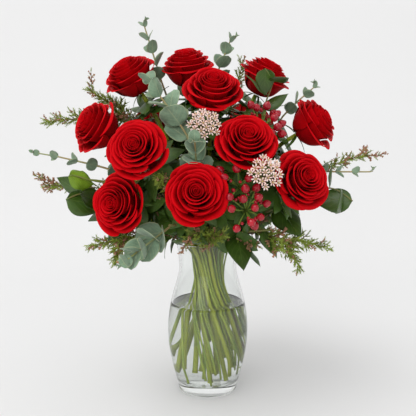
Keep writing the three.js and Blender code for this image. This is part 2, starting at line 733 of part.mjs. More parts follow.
// A rice flower's stalks open into a domed head.
const RICE_RINGS = [
  [1, SPRIG_STEM_DIAMETER / 2],
  [0.5, RICE_HEAD_DIAMETER * 0.36],
  [0.28, RICE_HEAD_DIAMETER / 2],
  [0.08, RICE_HEAD_DIAMETER * 0.4],
  [0, RICE_HEAD_DIAMETER * 0.2],
];

for (const rose of roses) {
  const stem = headedRod(rose.stem, rose.chain, HIP_LENGTH, HIP_RINGS, 5);
  show(rose.stem.name, stem, ROSE_STEM);
  stand(rose.stem.name, solid(stem));
  const bloom = bloomGeometry().applyMatrix4(standing(rose.base, rose.faces));
  show(rose.name, bloom, PETAL);
  stand(rose.name, solid(bloom));
}
const vaseGeometry = vase();
show("vase", vaseGeometry, GLASS);
stand("vase", solid(vaseGeometry));

for (const one of sprigs) {
  one.curve = new THREE.CatmullRomCurve3(one.chain.points, false, "centripetal");
  const leafy = rimPoint(one.sprig.from).distanceTo(rimPoint(one.sprig.tip));
  one.leafStart = 1 - leafy / one.curve.getLength();
  one.core = riceFlower.includes(one)
    ? solid(headedRod(one.stem, one.chain, RICE_HEAD_DEPTH, RICE_RINGS, 7))
    : sprigRod(one.stem, one.chain);
  stand(one.name, one.core);
}

function finishSprigs(list, material, extras) {
  for (const one of list) {
    const grown = extras(one);
    const whole = joined([one.core, ...grown]).simplify(SLIVER);
    stand(one.name, whole);
    show(one.name, geometryOf(whole), material);
  }
}

finishSprigs(riceFlower, RICE_PINK, () => []);
finishSprigs(heath, HEATH_GREEN, (one) =>
  one.branches
    .filter((branch) => fits(one.name, solid(rod(branch.points, branch.radii(CLEARANCE), 5))))
    .map((branch) => solid(rod(branch.points, branch.radii(), 5))),
);
finishSprigs(hypericum, BERRY_RED, (one) => berrySpray(one.name, one.sprig, one.curve));
finishSprigs(salal, SALAL_GREEN, (one) =>
  leavesThatFit(
    one.name,
    alternateLeaves(one.sprig, one.curve, one.leafStart, SALAL_LEAF_LENGTH, SALAL_LEAF_WIDTH, POINTED),
  ),
);
finishSprigs(ivy, IVY_GREEN, (one) =>
  leavesThatFit(one.name, alternateLeaves(one.sprig, one.curve, one.leafStart, IVY_LEAF, IVY_LEAF, LOBED)),
);
finishSprigs(eucalyptus, EUCALYPTUS_GREEN, (one) =>
  leavesThatFit(one.name, eucalyptusLeaves(one.sprig, one.curve, one.leafStart)),
);

show("water", geometryOf(water(stems)), WATER);

export default group;
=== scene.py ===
import math
import random

import bmesh
import bpy
from mathutils import Matrix, Quaternion, Vector
from mathutils.bvhtree import BVHTree


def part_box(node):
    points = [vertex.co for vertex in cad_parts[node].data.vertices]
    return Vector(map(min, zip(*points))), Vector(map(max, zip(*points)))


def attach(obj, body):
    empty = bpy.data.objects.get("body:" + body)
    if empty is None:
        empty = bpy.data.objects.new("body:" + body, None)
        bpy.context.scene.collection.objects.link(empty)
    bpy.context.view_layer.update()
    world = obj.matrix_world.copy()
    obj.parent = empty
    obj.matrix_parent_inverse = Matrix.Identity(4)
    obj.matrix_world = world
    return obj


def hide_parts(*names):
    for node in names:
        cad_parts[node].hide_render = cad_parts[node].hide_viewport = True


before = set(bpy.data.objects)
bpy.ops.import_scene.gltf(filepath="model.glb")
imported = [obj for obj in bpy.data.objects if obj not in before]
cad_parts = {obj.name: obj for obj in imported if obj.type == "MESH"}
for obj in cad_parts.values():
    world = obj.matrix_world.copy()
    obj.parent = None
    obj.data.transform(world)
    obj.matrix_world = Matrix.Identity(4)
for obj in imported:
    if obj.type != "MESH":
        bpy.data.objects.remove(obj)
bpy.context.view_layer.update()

bl_info = {
    "name": "Roses in a Vase",
    "version": (1, 0, 0),
    "blender": (4, 5, 0),
    "location": "View3D > Sidebar > Bouquet",
    "description": "Arranges red roses and greenery in a clear glass vase of water",
    "category": "Object",
}

MM = 0.001
GOLDEN = math.pi * (3 - math.sqrt(5))
UP = Vector((0, 0, 1))

# How a rod's centreline is followed: its steps, the most of them, and how far aside it may look, in radians.
STEP = 1.5 * MM
MOST_STEPS = 700
LEANS = (0.5, 0.95, 1.35)
KINK_LEAN = 1.75
# A packed berry is an icosahedron: its inner and outer radius, as shares of a side.
BERRY_INNER, BERRY_OUTER = 0.7558, 0.9511
# Where a petal's body ends and its rim begins to roll back, and the share that the roll takes.
ROLL_START, ROLL_SHARE = 0.7, 0.3


# ---------------------------------------------------------------- reading the packed pieces


def nodes_called(kind):
    """Names of the packed pieces of one kind, in order."""
    return sorted(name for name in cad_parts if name.startswith(kind + "_"))


def merged(name):
    """A bmesh of one packed piece, with its loose triangles joined at their corners."""
    bm = bmesh.new()
    bm.from_mesh(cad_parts[name].data)
    bmesh.ops.remove_doubles(bm, verts=bm.verts, dist=0.01 * MM)
    return bm


def middle(points):
    """The average of some points."""
    points = list(points)
    return sum(points, Vector()) / len(points)


def section(tree, guess, heading, reach):
    """Centre and radius of a rod's section at a guess inside it, or None where the guess is outside."""
    spans = []
    side = heading.orthogonal().normalized()
    for turn in range(8):
        way = Quaternion(heading, math.pi * turn / 8) @ side
        near = tree.ray_cast(guess, way, reach)
        far = tree.ray_cast(guess, -way, reach)
        if near[0] is None or far[0] is None or near[1].dot(way) < 0 or far[1].dot(way) > 0:
            continue
        spans.append((near[3] + far[3], (near[3] - far[3]) / 2, way))
    if len(spans) < 5:
        return None
    spans.sort(key=lambda span: span[0])
    width = spans[len(spans) // 2][0]
    kept = [span for span in spans if span[0] < 1.4 * width]
    shift = sum((off * way for _, off, way in kept), Vector()) * (2 / len(kept))
    return guess + shift, width * 0.53


def follow(tree, start, heading, radius, until=None, leans=LEANS):
    """A rod's centreline from one end, as (point, radius) pairs: short steps, each centred between the walls."""
    line = [(start, radius)]
    while len(line) < MOST_STEPS:
        ways = [heading]
        for lean in leans:
            side = heading.orthogonal().normalized() * math.sin(lean)
            ways += [heading * math.cos(lean) + Quaternion(heading, k * 1.05) @ side for k in range(6)]
        tries = [(way, jump) for jump in (STEP, 1.8 * STEP, 3 * STEP) for way in ways]
        found = next((f for f in (advance(tree, line, *one) for one in tries) if f), None)
        if not found or (until and until(*found)):
            break
        line.append(found)
        back = line[max(0, len(line) - 4)][0]
        heading = (found[0] - back).normalized()
    return line


def advance(tree, line, way, jump):
    """The next centred point of a line one jump along a way, or None where that leaves the rod or turns back."""
    found = section(tree, line[-1][0] + way * jump, way, 20 * MM)
    if not found or (found[0] - line[-1][0]).length < 0.5 * jump:
        return None
    if any((found[0] - point).length < 0.9 * MM for point, _ in line[:-3]):
        return None
    return found


def stem_line(bm, until=None):
    """The centreline of a stem, from its cut end in the vase to its tip, past a kink if there is one."""
    low = min(bm.verts, key=lambda v: v.co.z)
    ring = [v for v in bm.verts if (v.co - low.co).length < 8 * MM]
    start = middle(v.co for v in ring)
    beyond = [e.other_vert(v).co for v in ring for e in v.link_edges if e.other_vert(v) not in ring]
    heading = (middle(beyond) - start).normalized()
    radius = max((v.co - start).length for v in ring)
    tree = BVHTree.FromBMesh(bm)
    line = follow(tree, start, heading, radius, until)
    tip = max(bm.verts, key=lambda v: (v.co - start).length).co
    if not until and (line[-1][0] - tip).length > 60 * MM:
        kinked = follow(tree, start, heading, radius, until, (*LEANS, KINK_LEAN))
        if (kinked[-1][0] - tip).length < 25 * MM:
            line = kinked
    return fanned(line)


def fanned(line):
    """A stem's line with its lower part drawn out towards the glass, as a loose bunch spreads in water."""
    wall, waist = outer_wall(), VASE["neck_height"] - 12 * MM
    drawn = []
    for point, radius in line:
        out = math.hypot(point.x, point.y)
        if point.z < waist and out > 0:
            room = inner_radius(wall, max(point.z, VASE["floor"] + 6 * MM), VASE["wall"]) - 5 * MM
            share = min(1.0, (waist - point.z) / (55 * MM))
            spread = out * (1 + 0.55 * share * share * (3 - 2 * share))
            grow = max(1.0, min(spread, room) / out)
            point = Vector((point.x * grow, point.y * grow, point.z))
        drawn.append((point, radius))
    return drawn


def thinned(line, gap):
    """The same line with a point about every gap, keeping both ends."""
    kept = [line[0]]
    for point, radius in line[1:-1]:
        if (point - kept[-1][0]).length >= gap:
            kept.append((point, radius))
    return kept + [line[-1]]


def slimmed(line, thickest):
    """The same line with a point about every 5 mm and no radius over the thickest."""
    return thinned([(p, min(r, thickest)) for p, r in line], 5 * MM)


def tangent(line, i):
    """The direction of a line at one of its points."""
    return (line[min(len(line) - 1, i + 2)][0] - line[max(0, i - 2)][0]).normalized()


def leaf_plates(bm, least, slender):
    """The flat leaves of a packed sprig: for each, its upper outline, centre and normal."""
    angle = math.radians(1)
    bmesh.ops.dissolve_limit(bm, angle_limit=angle, verts=bm.verts, edges=bm.edges)
    flats = []
    for face in bm.faces:
        area = face.calc_area()
        if area > least and area / face.calc_perimeter() ** 2 > slender:
            flats.append(([v.co.copy() for v in face.verts], face.calc_center_median(), face.normal.copy()))
    pairs = []
    for i, one in enumerate(flats):
        for two in flats[i + 1:]:
            if one[2].dot(two[2]) < -0.98 and (one[1] - two[1]).length < 3 * MM:
                pairs.append((one, two))
    return pairs


# ---------------------------------------------------------------- shaping pieces


def sheet(bm, rows, columns, place, material=0):
    """A grid sheet whose point at s along and t across goes where place(s, t) says. Its UV is (s, t)."""
    layer = bm.loops.layers.uv.verify()
    made = bmesh.ops.create_grid(bm, x_segments=rows, y_segments=columns, size=1.0)
    where = {v: ((v.co.x + 1) / 2, v.co.y) for v in made["verts"]}
    for face in faces_of(made["verts"]):
        face.smooth = True
        face.material_index = material
        for loop in face.loops:
            s, t = where[loop.vert]
            loop[layer].uv = (s, t / 2 + 0.5)
    for vert, (s, t) in where.items():
        vert.co = place(s, t)


def basis(along, up, at):
    """A matrix whose X runs along, whose Z is as near up as it can be, and whose origin is at a point."""
    x = along.normalized()
    y = up.cross(x).normalized()
    return Matrix.Translation(at) @ Matrix((x, y, x.cross(y))).transposed().to_4x4()


def blade(bm, at, along, up, length, width, half, rows=8, columns=4, cup=0.12, droop=0.1, wave=0.0, material=0):
    """One leaf: half(s) is its half width at s, cup folds its sides up and droop bends its tip down."""
    frame_of = basis(along, up, at)

    def place(s, t):
        y = t * half(s) * width / 2
        z = cup * width * (t * half(s)) ** 2 - droop * length * s * s
        z += wave * width * math.sin(9 * s + 2 * t) * abs(t)
        return frame_of @ Vector((s * length, y, z))

    sheet(bm, rows, columns, place, material)


def standing(at, way):
    """A matrix that stands an upright shape at a point, along a direction."""
    return Matrix.Translation(at) @ UP.rotation_difference(way).to_matrix().to_4x4()


def faces_of(verts):
    """The faces round some vertices."""
    return {f for v in verts for f in v.link_faces}


def tube(bm, line, sides=8, material=0):
    """A closed tube along (point, radius) pairs, made by drawing one ring out along them."""
    first = tangent(line, 0)
    turn = UP.rotation_difference(first)
    ring = bmesh.ops.create_circle(bm, cap_ends=True, segments=sides, radius=line[0][1])["verts"]
    for v in ring:
        v.co = line[0][0] + turn @ v.co
    made = faces_of(ring)
    edges = list({e for v in ring for e in v.link_edges if e.other_vert(v) in ring})
    before = first
    for i in range(1, len(line)):
        out = bmesh.ops.extrude_edge_only(bm, edges=edges)["geom"]
        verts = [g for g in out if isinstance(g, bmesh.types.BMVert)]
        edges = [g for g in out if isinstance(g, bmesh.types.BMEdge)]
        made.update(g for g in out if isinstance(g, bmesh.types.BMFace))
        now = tangent(line, i)
        twist = before.rotation_difference(now)
        scale = line[i][1] / line[i - 1][1]
        for v in verts:
            v.co = line[i][0] + (twist @ (v.co - line[i - 1][0])) * scale
        before = now
    made.update(bmesh.ops.edgeloop_fill(bm, edges=edges)["faces"])
    for face in made:
        if face.is_valid:
            face.smooth = True
            face.material_index = material


def as_shape(bm, name):
    """A finished bmesh kept as a mesh that can be stamped many times."""
    bmesh.ops.recalc_face_normals(bm, faces=bm.faces)
    mesh = bpy.data.meshes.new(name)
    bm.to_mesh(mesh)
    bm.free()
    return mesh


def stamp(bm, shape, matrix):
    """Adds a copy of a kept shape, moved by a matrix."""
    copy = shape.copy()
    copy.transform(matrix)
    bm.from_mesh(copy)
    bpy.data.meshes.remove(copy)


def put(name, bm, node, materials, thickness=0.0, smoothing=0, even=True):
    """Makes the finished piece that stands for a packed node."""
    mesh = bpy.data.meshes.new(name)
    bm.to_mesh(mesh)
    bm.free()
    piece = bpy.data.objects.new(name, mesh)
    bpy.context.scene.collection.objects.link(piece)
    for material in materials:
        mesh.materials.append(material)
    if thickness:
        solid = piece.modifiers.new("Thickness", "SOLIDIFY")
        solid.thickness = thickness
        solid.offset = 0
        solid.use_even_offset = even
    if smoothing:
        smooth = piece.modifiers.new("Smoothing", "SUBSURF")
        smooth.levels = smooth.render_levels = smoothing
    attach(piece, "root")
    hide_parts(node)
    return piece


# ---------------------------------------------------------------- materials


class Nodes:
    """Short ways to add and join nodes in one node tree."""

    def __init__(self, tree):
        self.tree = tree

    def set(self, socket, value):
        """Links a socket to another, or sets it to a plain value."""
        if isinstance(value, bpy.types.NodeSocket):
            self.tree.links.new(value, socket)
        elif value is not None:
            socket.default_value = value

    def add(self, kind, inputs=None, **settings):
        """A shader node with some of its settings and inputs."""
        made = self.tree.nodes.new("ShaderNode" + kind)
        for key, value in settings.items():
            setattr(made, key, value)
        for key, value in (inputs or {}).items():
            self.set(made.inputs[key], value)
        return made

    def math(self, operation, *values):
        """The result of one sum."""
        made = self.add("Math", operation=operation)
        for i, value in enumerate(values):
            self.set(made.inputs[i], value)
        return made.outputs[0]

    def span(self, value, low, high, out_low=0.0, out_high=1.0):
        """A value eased from one range to another."""
        made = self.add("MapRange", interpolation_type="SMOOTHSTEP")
        for i, one in enumerate((value, low, high, out_low, out_high)):
            self.set(made.inputs[i], one)
        return made.outputs[0]

    def place(self):
        """Each point's place on its piece."""
        return self.add("TexCoord").outputs["Object"]

    def relief(self, shader, strength, depth, height):
        """Raises a shader's surface by a height."""
        bump = self.add("Bump", {"Strength": strength, "Distance": depth, "Height": height})
        self.set(shader.inputs["Normal"], bump.outputs[0])

    def mix(self, factor, one, two):
        """Two colours mixed."""
        made = self.add("Mix", data_type="RGBA")
        for i, value in ((0, factor), (6, one), (7, two)):
            self.set(made.inputs[i], value)
        return made.outputs[2]


def group(name, inputs, outputs, build):
    """A shared shader group, built once: build(nodes, inputs) returns the value of each output."""
    if name in bpy.data.node_groups:
        return bpy.data.node_groups[name]
    tree = bpy.data.node_groups.new(name, "ShaderNodeTree")
    for socket, kind, default in inputs:
        made = tree.interface.new_socket(socket, in_out="INPUT", socket_type="NodeSocket" + kind)
        if default is not None:
            made.default_value = default
    for socket, kind in outputs:
        tree.interface.new_socket(socket, in_out="OUTPUT", socket_type="NodeSocket" + kind)
    nodes = Nodes(tree)
    start = tree.nodes.new("NodeGroupInput")
    end = tree.nodes.new("NodeGroupOutput")
    for (socket, _), value in zip(outputs, build(nodes, start.outputs)):
        nodes.set(end.inputs[socket], value)
    return tree


def mottle_group():
    """Soft patches over a piece, in its own coordinates."""

    def build(nodes, given):
        place = nodes.place()
        patch = nodes.add("TexNoise", {"Vector": place, "Scale": given["Scale"], "Detail": 4.0, "Roughness": 0.6})
        return [nodes.span(patch.outputs["Fac"], 0.32, 0.68)]

    return group("Mottle", [("Scale", "Float", 60.0)], [("Patches", "Float")], build)


def vein_group():
    """A leaf's midrib and side veins, from its own UV map: s along it, t across it."""

    def build(nodes, given):
        uv = nodes.add("SeparateXYZ", {0: nodes.add("UVMap").outputs[0]})
        across = nodes.math("ABSOLUTE", nodes.math("SUBTRACT", uv.outputs[1], 0.5))
        rib = nodes.span(across, 0.0, given["Rib Width"], 1.0, 0.0)
        slant = nodes.math("MULTIPLY", across, given["Slant"])
        run = nodes.math("MULTIPLY", nodes.math("SUBTRACT", uv.outputs[0], slant), given["Count"])
        wave = nodes.math("ABSOLUTE", nodes.math("SUBTRACT", nodes.math("FRACT", run), 0.5))
        side = nodes.span(wave, 0.0, 0.13, 1.0, 0.0)
        fade = nodes.span(across, 0.3, 0.5, 1.0, 0.3)
        veins = nodes.math("MAXIMUM", rib, nodes.math("MULTIPLY", nodes.math("MULTIPLY", side, fade), 0.6))
        swell = nodes.math("MULTIPLY", nodes.math("SUBTRACT", 0.5, wave), 0.8)
        edge = nodes.span(across, 0.44, 0.5)
        return [veins, swell, edge]

    inputs = [("Count", "Float", 8.0), ("Slant", "Float", 0.8), ("Rib Width", "Float", 0.03)]
    return group("Leaf Veins", inputs, [("Veins", "Float"), ("Swell", "Float"), ("Edge", "Float")], build)


def start_material(name, **values):
    """A new material with one Principled shader, some of whose sockets are set."""
    made = bpy.data.materials.new(name)
    made.use_nodes = True
    nodes = Nodes(made.node_tree)
    shader = made.node_tree.nodes["Principled BSDF"]
    for key, value in values.items():
        shader.inputs[key.replace("_", " ")].default_value = value
    return made, nodes, shader


def colour(value, share=1.0):
    """A settings colour with alpha, dimmed by a share."""
    return (value[0] * share, value[1] * share, value[2] * share, 1.0)


def place_group(nodes, tree, inputs):
    """A group placed in a material with its own values."""
    made = nodes.tree.nodes.new("ShaderNodeGroup")
    made.node_tree = tree
    for key, value in inputs.items():
        nodes.set(made.inputs[key], value)
    return made.outputs


def petal_material(settings):
    """Velvety petals: painted shade darker towards the base, a painted highlight along the rim, and fine long veins.
    """
    made, nodes, shader = start_material(
        "Petal", Roughness=0.62, Specular_IOR_Level=0.06, Sheen_Weight=0.08, Sheen_Roughness=0.45,
        Sheen_Tint=(1.0, 0.05, 0.05, 1.0), Subsurface_Weight=0.12, Subsurface_Scale=0.6 * MM,
        Subsurface_Radius=(1.0, 0.12, 0.08),
    )
    uv = nodes.add("UVMap").outputs[0]
    run = nodes.add("SeparateXYZ", {0: uv})
    patches = place_group(nodes, mottle_group(), {"Scale": 90.0})["Patches"]
    # Painted shade: the red darkens towards each petal's base, deep in the bloom.
    depth = nodes.span(run.outputs[0], 0.25, 0.92)
    base = nodes.mix(depth, colour(settings.petal_painted_shade), colour(settings.petal_colour))
    shade = nodes.mix(nodes.math("MULTIPLY", patches, 0.35), base, colour(settings.petal_colour, 0.72))
    # Painted highlight: a lighter red along each petal's rim.
    rim = nodes.span(run.outputs[0], 0.9, 1.0, 0.0, 0.35)
    shaded_and_highlighted = nodes.mix(rim, shade, colour(settings.petal_rim_highlight))
    nodes.set(shader.inputs["Base Color"], shaded_and_highlighted)
    stretch = nodes.add("Mapping", {"Vector": uv, "Scale": (5.0, 110.0, 1.0)})
    fibres = nodes.add("TexNoise", {"Vector": stretch.outputs[0], "Scale": 1.0, "Detail": 3.0})
    ripple = nodes.add("TexNoise", {"Vector": nodes.place(), "Scale": 220.0})
    height = nodes.math("ADD", nodes.math("MULTIPLY", fibres.outputs["Fac"], 0.5), ripple.outputs["Fac"])
    nodes.relief(shader, 0.35, 0.25 * MM, height)
    return made


def leaf_material(name, top, low, vein, veins, patch_scale=70.0, vein_share=0.6, bump=0.4, edge=None, **values):
    """A leaf with mottled green, paler veins and the swell of the blade between them."""
    made, nodes, shader = start_material(name, **values)
    lines = place_group(nodes, vein_group(), veins)
    patches = place_group(nodes, mottle_group(), {"Scale": patch_scale})["Patches"]
    green = nodes.mix(patches, low, top)
    veined = nodes.mix(nodes.math("MULTIPLY", lines["Veins"], vein_share), green, vein)
    if edge:
        veined = nodes.mix(nodes.math("MULTIPLY", lines["Edge"], 0.6), veined, edge)
    nodes.set(shader.inputs["Base Color"], veined)
    grain = nodes.add("TexNoise", {"Vector": nodes.place(), "Scale": 900.0})
    height = nodes.math("SUBTRACT", lines["Swell"], nodes.math("MULTIPLY", lines["Veins"], 0.7))
    height = nodes.math("ADD", height, nodes.math("MULTIPLY", grain.outputs["Fac"], 0.15))
    nodes.relief(shader, bump, 0.5 * MM, height)
    return made


def plain_material(name, one, two, scale=80.0, grain=700.0, bump=0.25, **values):
    """A mottled plant surface with a fine grain: stems, berries, buds and florets."""
    made, nodes, shader = start_material(name, **values)
    patches = place_group(nodes, mottle_group(), {"Scale": scale})["Patches"]
    nodes.set(shader.inputs["Base Color"], nodes.mix(patches, one, two))
    fine = nodes.add("TexNoise", {"Vector": nodes.place(), "Scale": grain, "Detail": 3.0})
    nodes.relief(shader, bump, 0.2 * MM, fine.outputs["Fac"])
    return made


def bark_material(name, one, two):
    """A sprig's stem: fresh green where it stands in the vase, and its own bark above."""
    made, nodes, shader = start_material(name, Roughness=0.5)
    height = nodes.add("SeparateXYZ", {0: nodes.place()}).outputs[2]
    patches = place_group(nodes, mottle_group(), {"Scale": 40.0})["Patches"]
    fresh = nodes.mix(patches, (0.2, 0.3, 0.03, 1), (0.38, 0.46, 0.04, 1))
    rise = nodes.span(height, VASE["height"] - 20 * MM, VASE["height"] + 15 * MM)
    nodes.set(shader.inputs["Base Color"], nodes.mix(rise, fresh, nodes.mix(patches, one, two)))
    fine = nodes.add("TexNoise", {"Vector": nodes.place(), "Scale": 700.0, "Detail": 3.0})
    nodes.relief(shader, 0.25, 0.2 * MM, fine.outputs["Fac"])
    return made


def clear_material(name, tint, ior, roughness, clearness, painted_edge_shade_share):
    """Glass or water that lets most of the light through in its shadow, with painted shade darkening its colour where
    it is seen edge-on.
    """
    made, nodes, shader = start_material(name, Roughness=roughness, IOR=ior, Transmission_Weight=1.0)
    # Painted shade: the colour darkens where the surface is seen edge-on, standing in for the dark outlines of clear
    # glass and water.
    edge = nodes.span(nodes.add("LayerWeight", {"Blend": 0.5}).outputs["Facing"], 0.55, 0.98)
    nodes.set(shader.inputs["Base Color"], nodes.mix(edge, tint, colour(tint, painted_edge_shade_share)))
    ways = nodes.add("LightPath")
    clear = nodes.add("BsdfTransparent", {"Color": (clearness, clearness, clearness, 1.0)})
    mixed = nodes.add("MixShader", {0: ways.outputs["Is Shadow Ray"], 1: shader.outputs[0], 2: clear.outputs[0]})
    nodes.set(made.node_tree.nodes["Material Output"].inputs["Surface"], mixed.outputs[0])
    return made


# ---------------------------------------------------------------- settings


def colour_setting(name, description, default):
    """A colour that a user can change."""
    return bpy.props.FloatVectorProperty(
        name=name, description=description, default=default, size=3, min=0, max=1, subtype="COLOR"
    )


def length_setting(name, description, default, least):
    """A length that a user can change."""
    return bpy.props.FloatProperty(
        name=name, description=description, default=default, min=least, unit="LENGTH"
    )


def index_setting(name, description, default):
    """How strongly something clear bends light."""
    return bpy.props.FloatProperty(name=name, description=description, default=default, min=1.0, max=2.0)


def measured_vase():
    """The vase's driving sizes, in metres, as packed."""
    bm = merged("vase")
    rings = {}
    for v in bm.verts:
        rings.setdefault(round(v.co.z, 4), []).append(math.hypot(v.co.x, v.co.y))
    bm.free()
    outer = sorted((z, max(r)) for z, r in rings.items())
    belly_height, belly = max(outer, key=lambda pair: pair[1])
    neck_height, neck = min((pair for pair in outer if pair[0] > belly_height), key=lambda pair: pair[1])
    height = outer[-1][0]
    rim = max(r for z, r in outer if z > height - 5 * MM)
    floor = min(z for z, r in rings.items() if z > 5 * MM and min(r) < 1 * MM)
    wall = belly - sorted(rings[belly_height])[0]
    return {
        "height": height, "foot": outer[0][1], "belly": belly, "belly_height": belly_height,
        "neck": neck, "neck_height": neck_height, "rim": rim, "floor": floor, "wall": wall,
    }


VASE = measured_vase()
HEART = Vector((0, 0, VASE["height"] + 40 * MM))
WATER_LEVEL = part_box("water")[1].z


class VaseSettings(bpy.types.PropertyGroup):
    """The glass vase and its water."""

    wall: length_setting("Wall", "Thickness of the glass wall", VASE["wall"], 0.001)
    glass_ior: index_setting("Glass Index", "How strongly the glass bends light", 1.45)
    water_ior: index_setting("Water Index", "How strongly the water bends light", 1.333)
    water_level: length_setting("Water Level", "Height of the water", WATER_LEVEL, 0.02)
    tint: colour_setting("Glass Tint", "Colour that the glass gives to light", (0.94, 0.955, 0.945))


class RoseSettings(bpy.types.PropertyGroup):
    """The blooms and their stems."""

    petal_colour: colour_setting("Petal", "Colour of the upper part of a petal", (0.58, 0.0012, 0.005))
    # Painted shade: a darker red laid deep inside the bloom, towards each petal's base.
    petal_painted_shade: colour_setting("Petal Painted Shade", "Colour deep inside the bloom", (0.26, 0.0005, 0.003))
    # Painted highlight: a lighter red along each petal's rim.
    petal_rim_highlight: colour_setting("Petal Rim Highlight", "Colour along a petal's rim", (0.6, 0.002, 0.01))
    petal_thickness: length_setting("Petal Thickness", "Thickness of one petal", 0.32 * MM, 0.0001)
    stem_colour: colour_setting("Stem", "Colour of the stems", (0.4, 0.47, 0.03))
    leaf_colour: colour_setting("Rose Leaf", "Colour of the roses' own leaves", (0.06, 0.125, 0.017))


class GreenerySettings(bpy.types.PropertyGroup):
    """Everything between the roses."""

    eucalyptus: colour_setting("Eucalyptus", "Colour of the round waxy leaves", (0.2, 0.3, 0.2))
    salal: colour_setting("Salal", "Colour of the broad glossy leaves", (0.035, 0.075, 0.008))
    heath: colour_setting("Heath", "Colour of the needles", (0.26, 0.34, 0.045))
    florets: colour_setting("Heath Florets", "Colour of the dried florets", (0.4, 0.2, 0.12))
    berry: colour_setting("Berry", "Colour of the hypericum berries", (0.4, 0.003, 0.016))
    rice_flower: colour_setting("Rice Flower", "Colour of the small clubbed petals", (0.86, 0.74, 0.68))
    bright_leaf: colour_setting("Bright Leaf", "Colour of the toothed leaves", (0.17, 0.3, 0.012))
    leaf_thickness: length_setting("Leaf Thickness", "Thickness of a leaf", 0.45 * MM, 0.0001)


class StageSettings(bpy.types.PropertyGroup):
    """Camera, light and floor."""

    distance: length_setting("Camera Distance", "From the vase's axis to the camera", 0.665, 0.1)
    camera_height: length_setting("Camera Height", "Height of the camera above the floor", 0.303, 0)
    pitch: bpy.props.FloatProperty(name="Camera Pitch", description="How far the camera looks down",
                                   default=math.radians(4.96), unit="ROTATION")
    lens: bpy.props.FloatProperty(name="Focal Length", description="Focal length on a 36 mm wide sensor, in mm",
                                  default=43.18, min=10)
    floor: colour_setting("Floor", "Colour of the floor and the backdrop", (0.78, 0.78, 0.78))


# ---------------------------------------------------------------- vase and water


def bezier(points, count):
    """Points along one cubic curve in the plane, without its first."""
    found = []
    for i in range(1, count + 1):
        t = i / count
        weights = ((1 - t) ** 3, 3 * t * (1 - t) ** 2, 3 * t * t * (1 - t), t**3)
        found.append(tuple(sum(w * p[k] for w, p in zip(weights, points)) for k in (0, 1)))
    return found


def outer_wall():
    """The vase's outside from just above its heel to just under its rim, as (radius, height) pairs."""
    v = VASE
    swell, flare = v["neck_height"] - v["belly_height"], v["height"] - v["neck_height"]
    start = (v["foot"] + 1.6 * MM, 2.2 * MM)
    under = v["height"] - v["wall"] / 2
    lower = [
        start, (v["foot"] + 0.36 * (v["belly"] - v["foot"]), 0.24 * v["belly_height"]),
        (v["belly"], 0.6 * v["belly_height"]), (v["belly"], v["belly_height"]),
    ]
    upper = [
        lower[3], (v["belly"], v["belly_height"] + 0.52 * swell),
        (v["neck"], v["neck_height"] - 0.22 * swell), (v["neck"], v["neck_height"]),
    ]
    throat = [
        upper[3], (v["neck"], v["neck_height"] + 0.35 * flare),
        (v["neck"] + 0.45 * (v["rim"] - v["neck"]), v["neck_height"] + 0.75 * flare), (v["rim"], under),
    ]
    return [start] + bezier(lower, 22) + bezier(upper, 24) + bezier(throat, 12)


def inner_radius(wall, height, thickness):
    """The vase's inner radius at a height."""
    for (r0, z0), (r1, z1) in zip(wall, wall[1:]):
        if z1 >= height:
            return r0 + (r1 - r0) * (height - z0) / (z1 - z0) - thickness
    return wall[-1][0] - thickness


def inner_wall(wall, thickness, top):
    """The inside from the floor's centre up the wall to a height, with a rounded corner."""
    floor, corner = VASE["floor"], 7 * MM
    reach = inner_radius(wall, floor + corner, thickness)
    line = [(0.0, floor)]
    for i in range(9):
        turn = math.pi / 2 * i / 8
        line.append((reach - corner * (1 - math.sin(turn)), floor + corner * (1 - math.cos(turn))))
    line += [(r - thickness, z) for r, z in wall if floor + corner + 1 * MM < z < top - 0.5 * MM]
    return line + [(inner_radius(wall, top, thickness), top)]


def turned(profile, steps):
    """A bmesh turned about the axis from (radius, height) pairs that start and end on it."""
    bm = bmesh.new()
    verts = [bm.verts.new((r, 0, z)) for r, z in profile]
    edges = [bm.edges.new(pair) for pair in zip(verts, verts[1:])]
    bmesh.ops.spin(bm, geom=verts + edges, axis=UP, cent=(0, 0, 0), steps=steps, angle=math.tau, use_merge=True)
    bmesh.ops.remove_doubles(bm, verts=bm.verts, dist=0.001 * MM)
    bmesh.ops.recalc_face_normals(bm, faces=bm.faces)
    for face in bm.faces:
        face.smooth = True
    return bm


class BOUQUET_OT_blow_vase(bpy.types.Operator):
    """Blow the waisted glass vase with its thick base and rounded rim"""

    bl_idname = "bouquet.blow_vase"
    bl_label = "Blow the Vase"

    def execute(self, context):
        s = context.scene.bouquet_vase
        wall = outer_wall()
        top, heel = VASE["height"], 3.2 * MM
        foot = VASE["foot"]
        under = [(0.0, 1.1 * MM), (foot * 0.62, 0.9 * MM), (foot * 0.8, 0.25 * MM), (foot * 0.9, 0.0), (foot, 0.0)]
        under += [(foot + 0.9 * MM, 0.35 * MM), (foot + 1.4 * MM, 1.1 * MM)]
        lip = []
        middle_radius = VASE["rim"] - s.wall / 2
        for i in range(1, 8):
            turn = math.pi * i / 8
            lip.append((middle_radius + math.cos(turn) * s.wall / 2, top - s.wall / 2 * (1 - math.sin(turn))))
        inside = list(reversed(inner_wall(wall, s.wall, top - s.wall / 2)))
        bm = turned(under + wall + lip + inside, 128)
        glass = clear_material("Clear Glass", colour(s.tint), s.glass_ior, 0.0, 0.93, 0.4)
        put("glass_vase", bm, "vase", [glass])
        return {"FINISHED"}


